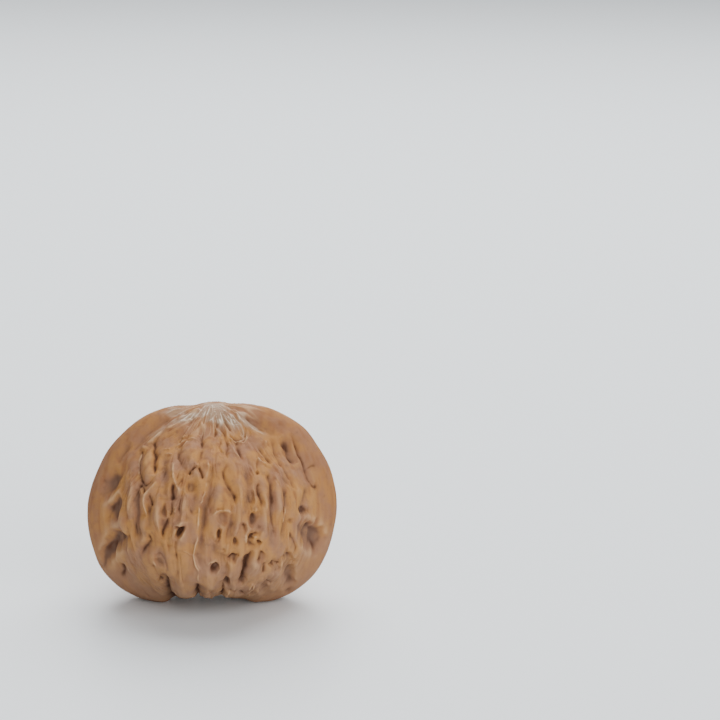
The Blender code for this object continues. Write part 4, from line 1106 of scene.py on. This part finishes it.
@dataclass(frozen=True)
class ShellFinish:
    """Walnut shell: dry, woody and hard, washed and dried once its husk was off.

    The eye gets a warm light brown in soft patches, almost without gloss. It is darker and redder in
    the creases, with painted shade over their own colour, greyer and darker in the valleys with dust and
    painted shade, and greyer towards the base. Raised parts are paler with wear and painted highlight,
    and the veins round the point are pale, a little shiny, and carry painted highlight and glints.
    """

    coats: tuple[Coat, ...] = (
        Coat("patch", 0.36, 0.62, Tone.LIGHT),
        Coat("streak", 0.4, 0.95, Tone.RUDDY),
        Coat("blotch", 0.5, 1.0, Tone.DUST_AND_SHADE),
        # The pale bloom grows from 19 mm above the floor downwards.
        Coat("rise", 19.0 * MILLIMETRE, -6.0 * MILLIMETRE, Tone.BLOOM),
        Coat("seam", 0.0, 2.6, Tone.RUDDY),
        # Paler where a point stands above its wider surroundings, as on the hollows' rims: painted
        # highlight.
        Coat("high", 0.0, 1.8, Tone.WEAR_AND_HIGHLIGHT),
        # Greyer and darker in the valleys and hollows: dust with painted shade.
        Coat("low", 0.0, 1.0, Tone.DUST_AND_SHADE),
        # Paler on small raised parts: wear with painted highlight.
        Coat("wear_and_highlight", 0.0, 2.0, Tone.WEAR_AND_HIGHLIGHT),
        # Darker and redder in the creases: painted shade over their own dark colour.
        Coat("crease_and_shade", 0.15, 1.5, Tone.CREASE),
        # Pale crests of the veins, with painted highlight on them and on the rim over the top.
        Coat("vein_and_highlight", 0.1, 1.2, Tone.WEAR_AND_HIGHLIGHT),
        # Pale round the point and on the shoulders' crests: pale colour with painted highlight.
        Coat("tip", 0.0, 1.1, Tone.POINT),
        # Painted glints where the pale crests meet the pale point.
        Coat("painted_glint", 0.08, 0.75, Tone.PAINTED_GLINT),
    )
    marks: tuple[str, ...] = ("seam", "high", "low", "wear_and_highlight", "crease_and_shade", "vein_and_highlight", "tip")
    # Roughness and specular level where the shell is plain, and where a vein or the point is rubbed.
    roughness: tuple[float, float] = (0.78, 0.38)
    specular: tuple[float, float] = (0.08, 0.35)
    vein_gloss: float = 0.5
    ior: float = 1.5
    patch_mm: float = 4.0
    streak_mm: float = 1.2
    streak_length: float = 0.16
    blotch_mm: float = 1.1
    # Real pores are about 0.1 mm wide. These are as coarse as they need to be to show.
    pore_mm: float = 0.45
    pore_depth_mm: float = 0.05

    def material(self) -> bpy.types.Material:
        """Build the shell's material.

        Returns:
            The material, a Principled shader under the coats of colour.
        """
        material = bpy.data.materials.new("walnut_shell")
        material.use_nodes = True
        tree = material.node_tree
        tree.nodes.clear()
        place = add_node(tree, "ShaderNodeTexCoord", {}, {}).outputs["Object"]
        patterns = self.patterns(tree, place)
        base = from_hex(Tone.MID.value)
        for coat in self.coats:
            share = self.ramp(tree, patterns[coat.pattern], (coat.low, coat.high), (0.0, 1.0), "SMOOTHSTEP")
            inputs = {0: share, 6: base, 7: from_hex(coat.tone.value)}
            base = add_node(tree, "ShaderNodeMix", {"data_type": "RGBA"}, inputs).outputs[2]
        inputs = {0: patterns["vein_and_highlight"], 1: self.vein_gloss, 2: patterns["tip"]}
        gloss = add_node(tree, "ShaderNodeMath", {"operation": "MULTIPLY_ADD"}, inputs).outputs[0]
        depth = self.pore_depth_mm * MILLIMETRE
        inputs = {"Distance": depth, "Height": self.noise(tree, place, self.pore_mm, 4.0)}
        bump = add_node(tree, "ShaderNodeBump", {}, inputs)
        inputs = {
            "Base Color": base,
            "Roughness": self.ramp(tree, gloss, (0.0, 1.0), self.roughness),
            "Normal": bump.outputs["Normal"],
            "IOR": self.ior,
            "Specular IOR Level": self.ramp(tree, gloss, (0.0, 1.0), self.specular),
        }
        shader = add_node(tree, "ShaderNodeBsdfPrincipled", {}, inputs)
        add_node(tree, "ShaderNodeOutputMaterial", {}, {"Surface": shader.outputs["BSDF"]})
        return material

    def patterns(
        self, tree: bpy.types.NodeTree, place: bpy.types.NodeSocket
    ) -> dict[str, bpy.types.NodeSocket]:
        """Read the marks kept at the shell's points, and lay noise beside them.

        Args:
            tree: The material's node tree.
            place: The shell's own coordinates.

        Returns:
            The patterns by name.
        """
        found = {}
        for name in self.marks:
            attribute = add_node(tree, "ShaderNodeAttribute", {"attribute_name": name}, {})
            found[name] = attribute.outputs["Fac"]
        inputs = {"Vector": place, "Scale": (1.0, 1.0, self.streak_length)}
        long = add_node(tree, "ShaderNodeMapping", {}, inputs).outputs["Vector"]
        found["patch"] = self.noise(tree, place, self.patch_mm, 3.0)
        found["streak"] = self.noise(tree, long, self.streak_mm, 1.0)
        found["blotch"] = self.noise(tree, place, self.blotch_mm, 3.0)
        found["rise"] = add_node(tree, "ShaderNodeSeparateXYZ", {}, {"Vector": place}).outputs["Z"]
        # Painted glints where the veins and the point's pale patches overlap.
        inputs = {0: found["vein_and_highlight"], 1: found["tip"]}
        found["painted_glint"] = add_node(tree, "ShaderNodeMath", {"operation": "MULTIPLY"}, inputs).outputs[0]
        return found

    @staticmethod
    def noise(
        tree: bpy.types.NodeTree, place: bpy.types.NodeSocket, size_mm: float, detail: float
    ) -> bpy.types.NodeSocket:
        """Lay noise over the shell.

        Args:
            tree: The material's node tree.
            place: The coordinates to read.
            size_mm: How broad its patches are.
            detail: How many finer layers it has.

        Returns:
            The socket that gives it, from 0 to 1.
        """
        inputs = {"Vector": place, "Scale": 1.0 / (size_mm * MILLIMETRE), "Detail": detail}
        return add_node(tree, "ShaderNodeTexNoise", {}, inputs).outputs["Fac"]

    @staticmethod
    def ramp(
        tree: bpy.types.NodeTree,
        value: bpy.types.NodeSocket,
        given: tuple[float, float],
        result: tuple[float, float],
        blend: str = "LINEAR",
    ) -> bpy.types.NodeSocket:
        """Turn one range of numbers into another.

        Args:
            tree: The material's node tree.
            value: The number to turn.
            given: The range that it has.
            result: The range that it gets.
            blend: How it goes from one end to the other.

        Returns:
            The socket that gives the result.
        """
        inputs = {
            "Value": value,
            "From Min": given[0],
            "From Max": given[1],
            "To Min": result[0],
            "To Max": result[1],
        }
        settings = {"interpolation_type": blend}
        return add_node(tree, "ShaderNodeMapRange", settings, inputs).outputs["Result"]


@dataclass(frozen=True)
class StandFinish:
    """Matt white laminate, a little cool, with a faint soft gloss that shows the shadow's edge."""

    colour: str = "e8eef2"
    roughness: float = 0.45

    def material(self) -> bpy.types.Material:
        """Build the floor's material."""
        material = bpy.data.materials.new("white_laminate")
        material.use_nodes = True
        shader = material.node_tree.nodes["Principled BSDF"]
        shader.inputs["Base Color"].default_value = from_hex(self.colour)
        shader.inputs["Roughness"].default_value = self.roughness
        return material


@dataclass
class WalnutShell:
    """The closed shell, fitted to the box of the solid that it stands for."""

    low: Vector
    high: Vector
    form: SmoothForm = SmoothForm()
    finish: ShellFinish = ShellFinish()
    # The cube is cut first, then halved each way. Points lie a little closer on the front belly.
    first_cuts: int = 63
    halvings: int = 2
    quick_halvings: int = 1
    triangle_limit: int = 190_000
    front_closeness: float = 0.15
    # In square millimetres, to work out the length of an edge.
    shell_area: float = 5600.0
    # Creases and hollows are found by how far a point lies below what is round it, in millimetres, and get
    # painted shade; what stands above gets painted highlight.
    fine_reach: float = 0.3
    near_reach: float = 0.9
    wide_reach: float = 2.4
    crease_drop: float = 0.34
    hollow_drop: float = 0.85
    line_share: float = 0.32
    wear_and_highlight_start: float = 0.2
    seam_edge: tuple[float, float] = (0.15, 0.5)
    # The pale patches, the point's pale colour with painted highlight, have uneven outlines and stay on the
    # upper part.
    tip_unevenness: float = 0.5
    tip_uneven_size: float = 0.9
    tip_rise: tuple[float, float] = (0.35, 0.5)

    def build(self) -> bpy.types.Object:
        """Make the shell and dress it.

        Returns:
            The finished piece, standing on the floor's level.
        """
        shell = self.ball(self.halvings)
        relief = Relief(self.form)
        directions = self.outward(shell.data)
        marks = relief.marks(directions)
        points = relief.raised(directions, marks)
        points[:, 2] = np.maximum(points[:, 2], 0.0)
        self.move(shell.data, points * MILLIMETRE)
        self.mark(shell.data, directions, marks)
        self.thin(shell)
        self.fit(shell.data)
        shell.data.materials.append(self.finish.material())
        shell.data.polygons.foreach_set("use_smooth", [True] * len(shell.data.polygons))
        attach(shell, "root")
        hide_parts("walnut")
        return shell

    def ball(self, halvings: int) -> bpy.types.Object:
        """Divide a cube finely.

        Args:
            halvings: How many times its faces are halved each way after the first cuts.

        Returns:
            The cube, two units across.
        """
        bpy.ops.object.select_all(action="DESELECT")
        bpy.ops.mesh.primitive_cube_add(size=2.0)
        ball = bpy.context.active_object
        ball.name = "walnut_shell"
        ball.data.name = "walnut_shell"
        bpy.ops.object.mode_set(mode="EDIT")
        bpy.ops.mesh.subdivide(number_cuts=self.first_cuts)
        for _ in range(halvings):
            bpy.ops.mesh.subdivide(number_cuts=1)
        bpy.ops.object.mode_set(mode="OBJECT")
        return ball

    @staticmethod
    def evened(mesh: bpy.types.Mesh, values: Array, rounds: int) -> Array:
        """Even out values over the mesh's points along its edges.

        Args:
            mesh: The shell's mesh.
            values: A number for each point.
            rounds: How many times each takes half of its neighbours' mean.

        Returns:
            The evened numbers.
        """
        ends = np.empty(len(mesh.edges) * 2, dtype=np.int32)
        mesh.edges.foreach_get("vertices", ends)
        first, second = ends.reshape(-1, 2).T
        count = len(values)
        degree = np.bincount(first, minlength=count) + np.bincount(second, minlength=count)
        for _ in range(rounds):
            total = np.bincount(first, values[second], count) + np.bincount(second, values[first], count)
            values = 0.5 * (values + total / degree)
        return values

    @staticmethod
    def places(mesh: bpy.types.Mesh) -> Array:
        """The mesh's points, one to a row."""
        flat = np.empty(len(mesh.vertices) * 3)
        mesh.vertices.foreach_get("co", flat)
        return flat.reshape(-1, 3)

    @staticmethod
    def move(mesh: bpy.types.Mesh, points: Array) -> None:
        """Put the mesh's points at new places."""
        mesh.vertices.foreach_set("co", points.ravel())
        mesh.update()

    def outward(self, mesh: bpy.types.Mesh) -> Array:
        """Directions through a divided cube's points, evened out over the ball and closer in front."""
        evened = unit(np.tan(self.places(mesh) * math.pi / 4.0))
        return unit(evened - [0.0, self.front_closeness, 0.0])

    def thin(self, shell: bpy.types.Object) -> None:
        """Merge facets where the shell is smooth, down to the triangle limit."""
        triangles = 2 * len(shell.data.polygons)
        thinning = shell.modifiers.new("thinning", "DECIMATE")
        thinning.ratio = self.triangle_limit / triangles
        bpy.ops.object.modifier_apply(modifier=thinning.name)

    def mark(self, mesh: bpy.types.Mesh, directions: Array, marks: Marks) -> None:
        """Keep at the mesh's points what the finish reads.

        Args:
            mesh: The shell's mesh.
            directions: Unit vectors from the shell's middle to its points.
            marks: The relief along them.
        """
        plane = DrawingPlane(self.form, Belly.FRONT)
        smooth = self.form.points(directions)
        u, v = plane.project(smooth)
        uneven = 1.0 + self.tip_unevenness * noise_at(smooth, self.tip_uneven_size)
        # The pale patches: the point's pale colour with painted highlight.
        tip = np.zeros(len(directions))
        for oval in PALE_AND_HIGHLIGHT:
            distance = plane.oval_distance(u, v, oval) * uneven
            tip = np.maximum(tip, oval.height * np.exp(-(distance**3)))
        tip *= smooth_step(*self.tip_rise, directions[:, 2])
        height = marks.drawn() + marks.growth
        edge = math.sqrt(self.shell_area / len(height))
        fine = self.evened(mesh, height, round((self.fine_reach / edge) ** 2))
        near = self.evened(mesh, fine, round((self.near_reach / edge) ** 2)) - fine
        wide = self.evened(mesh, fine, round((self.wide_reach / edge) ** 2)) - fine
        kept = {
            # crease: painted shade where a point lies below its near surroundings, with the grooves' dark
            # lines.
            "crease_and_shade": np.clip(near / self.crease_drop + self.line_share * marks.line, 0.0, 1.0),
            # low: dust and painted shade where a point lies below its wider surroundings.
            "low": np.clip(wide / self.hollow_drop, 0.0, 1.0),
            # Paler where a point stands above its near surroundings: wear with painted highlight.
            "wear_and_highlight": np.clip(-near / self.crease_drop - self.wear_and_highlight_start, 0.0, 1.0),
            # high: painted highlight where a point stands above its wider surroundings.
            "high": np.clip(-wide / self.hollow_drop, 0.0, 1.0),
            "seam": 1.0 - smooth_step(*self.seam_edge, np.abs(directions[:, 1])),
            # vein: pale colour and painted highlight on thin crests, the fan and the rim over the top.
            "vein_and_highlight": np.clip(marks.vein_and_highlight, 0.0, 1.0),
            # tip: pale colour with painted highlight round the point.
            "tip": tip,
        }
        for name, values in kept.items():
            attribute = mesh.attributes.new(name, "FLOAT", "POINT")
            attribute.data.foreach_set("value", values.astype(np.float32))

    def fit(self, mesh: bpy.types.Mesh) -> None:
        """Centre the shell over its foot and fit it to the solid's box."""
        points = self.places(mesh)
        low, high = points.min(axis=0), points.max(axis=0)
        share = (np.array(self.high) - np.array(self.low)) / (high - low)
        LOG.info("shell before its fit: %s to %s", low / MILLIMETRE, high / MILLIMETRE)
        self.move(mesh, (points - low) * share + np.array(self.low))


@dataclass
class Stand:
    """The plain pale floor."""

    size: float = 4.0
    finish: StandFinish = StandFinish()

    def build(self) -> bpy.types.Object:
        """Make the floor."""
        bpy.ops.object.select_all(action="DESELECT")
        bpy.ops.mesh.primitive_plane_add(size=self.size)
        floor = bpy.context.active_object
        floor.name = "floor"
        floor.data.materials.append(self.finish.material())
        return floor


@dataclass(frozen=True)
class Lamp:
    """A square soft light: its place in metres, size, power in watts and colour."""

    name: str
    place: tuple[float, float, float]
    size: float
    power: float
    colour: str = "ffffff"


@dataclass
class Studio:
    """A soft lamp above and behind, another in front on the right, and an even pale surround."""

    lamps: tuple[Lamp, ...] = (
        Lamp("overhead", (0.08, 0.42, 0.58), 0.85, 11.0),
        Lamp("front", (0.4, -0.95, 0.5), 1.2, 13.5),
    )
    aim: Vector = Vector((0.0, 0.0, 0.018))
    surround: float = 0.4

    def build(self) -> None:
        """Hang the lamps and set the surround."""
        for lamp in self.lamps:
            light = bpy.data.lights.new(lamp.name, "AREA")
            light.size = lamp.size
            light.energy = lamp.power
            light.color = from_hex(lamp.colour)[:3]
            holder = bpy.data.objects.new(lamp.name, light)
            holder.location = lamp.place
            toward = self.aim - Vector(lamp.place)
            holder.rotation_euler = toward.to_track_quat("-Z", "Y").to_euler()
            bpy.context.scene.collection.objects.link(holder)
        world = bpy.data.worlds.new("surround")
        world.use_nodes = True
        background = world.node_tree.nodes["Background"]
        background.inputs["Color"].default_value = (1.0, 1.0, 1.0, 1.0)
        background.inputs["Strength"].default_value = self.surround
        bpy.context.scene.world = world


@dataclass
class PhotoCamera:
    """The camera at the photograph's viewing angle and framing.

    It stands where the shell's foot appears at foot_pixel, and where width_seen, in metres, measures
    width_pixels. The elevation is in degrees and the sensor in millimetres.
    """

    frame_pixels: int = 720
    foot_pixel: tuple[float, float] = (212.4, 598.3)
    width_pixels: float = 248.0
    width_seen: float = 0.045
    distance: float = 0.62
    elevation: float = 17.5
    sensor: float = 36.0

    def build(self) -> bpy.types.Object:
        """Place the camera, aim it and make it the scene's.

        Returns:
            The camera.
        """
        per_pixel = self.width_seen / self.width_pixels
        rise = math.radians(self.elevation)
        toward = Vector((0.0, -math.cos(rise), math.sin(rise)))
        right = Vector((1.0, 0.0, 0.0))
        up = toward.cross(right)
        middle = self.frame_pixels / 2.0
        across = (middle - self.foot_pixel[0]) * per_pixel
        above = (self.foot_pixel[1] - middle) * per_pixel
        camera = bpy.data.cameras.new("camera")
        camera.sensor_width = self.sensor
        camera.lens = self.distance / per_pixel * self.sensor / self.frame_pixels
        holder = bpy.data.objects.new("camera", camera)
        holder.location = toward * self.distance
        aim = (right * across + up * above - holder.location).normalized()
        side = aim.cross(up).normalized()
        holder.rotation_euler = Matrix((side, side.cross(aim), -aim)).transposed().to_euler()
        bpy.context.scene.collection.objects.link(holder)
        bpy.context.scene.camera = holder
        return holder


def main() -> None:
    """Build the scene."""
    logging.basicConfig(level=logging.INFO, format="%(message)s")
    noise.seed_set(NOISE_SEED)
    PhotoCamera().build()
    shell = WalnutShell(Vector(cad_box[0]), Vector(cad_box[1])).build()
    LOG.info("%s: %d faces", shell.name, len(shell.data.polygons))
    floor = Stand().build()
    LOG.info("%s: %d faces", floor.name, len(floor.data.polygons))
    Studio().build()


if __name__ == "__main__":
    main()
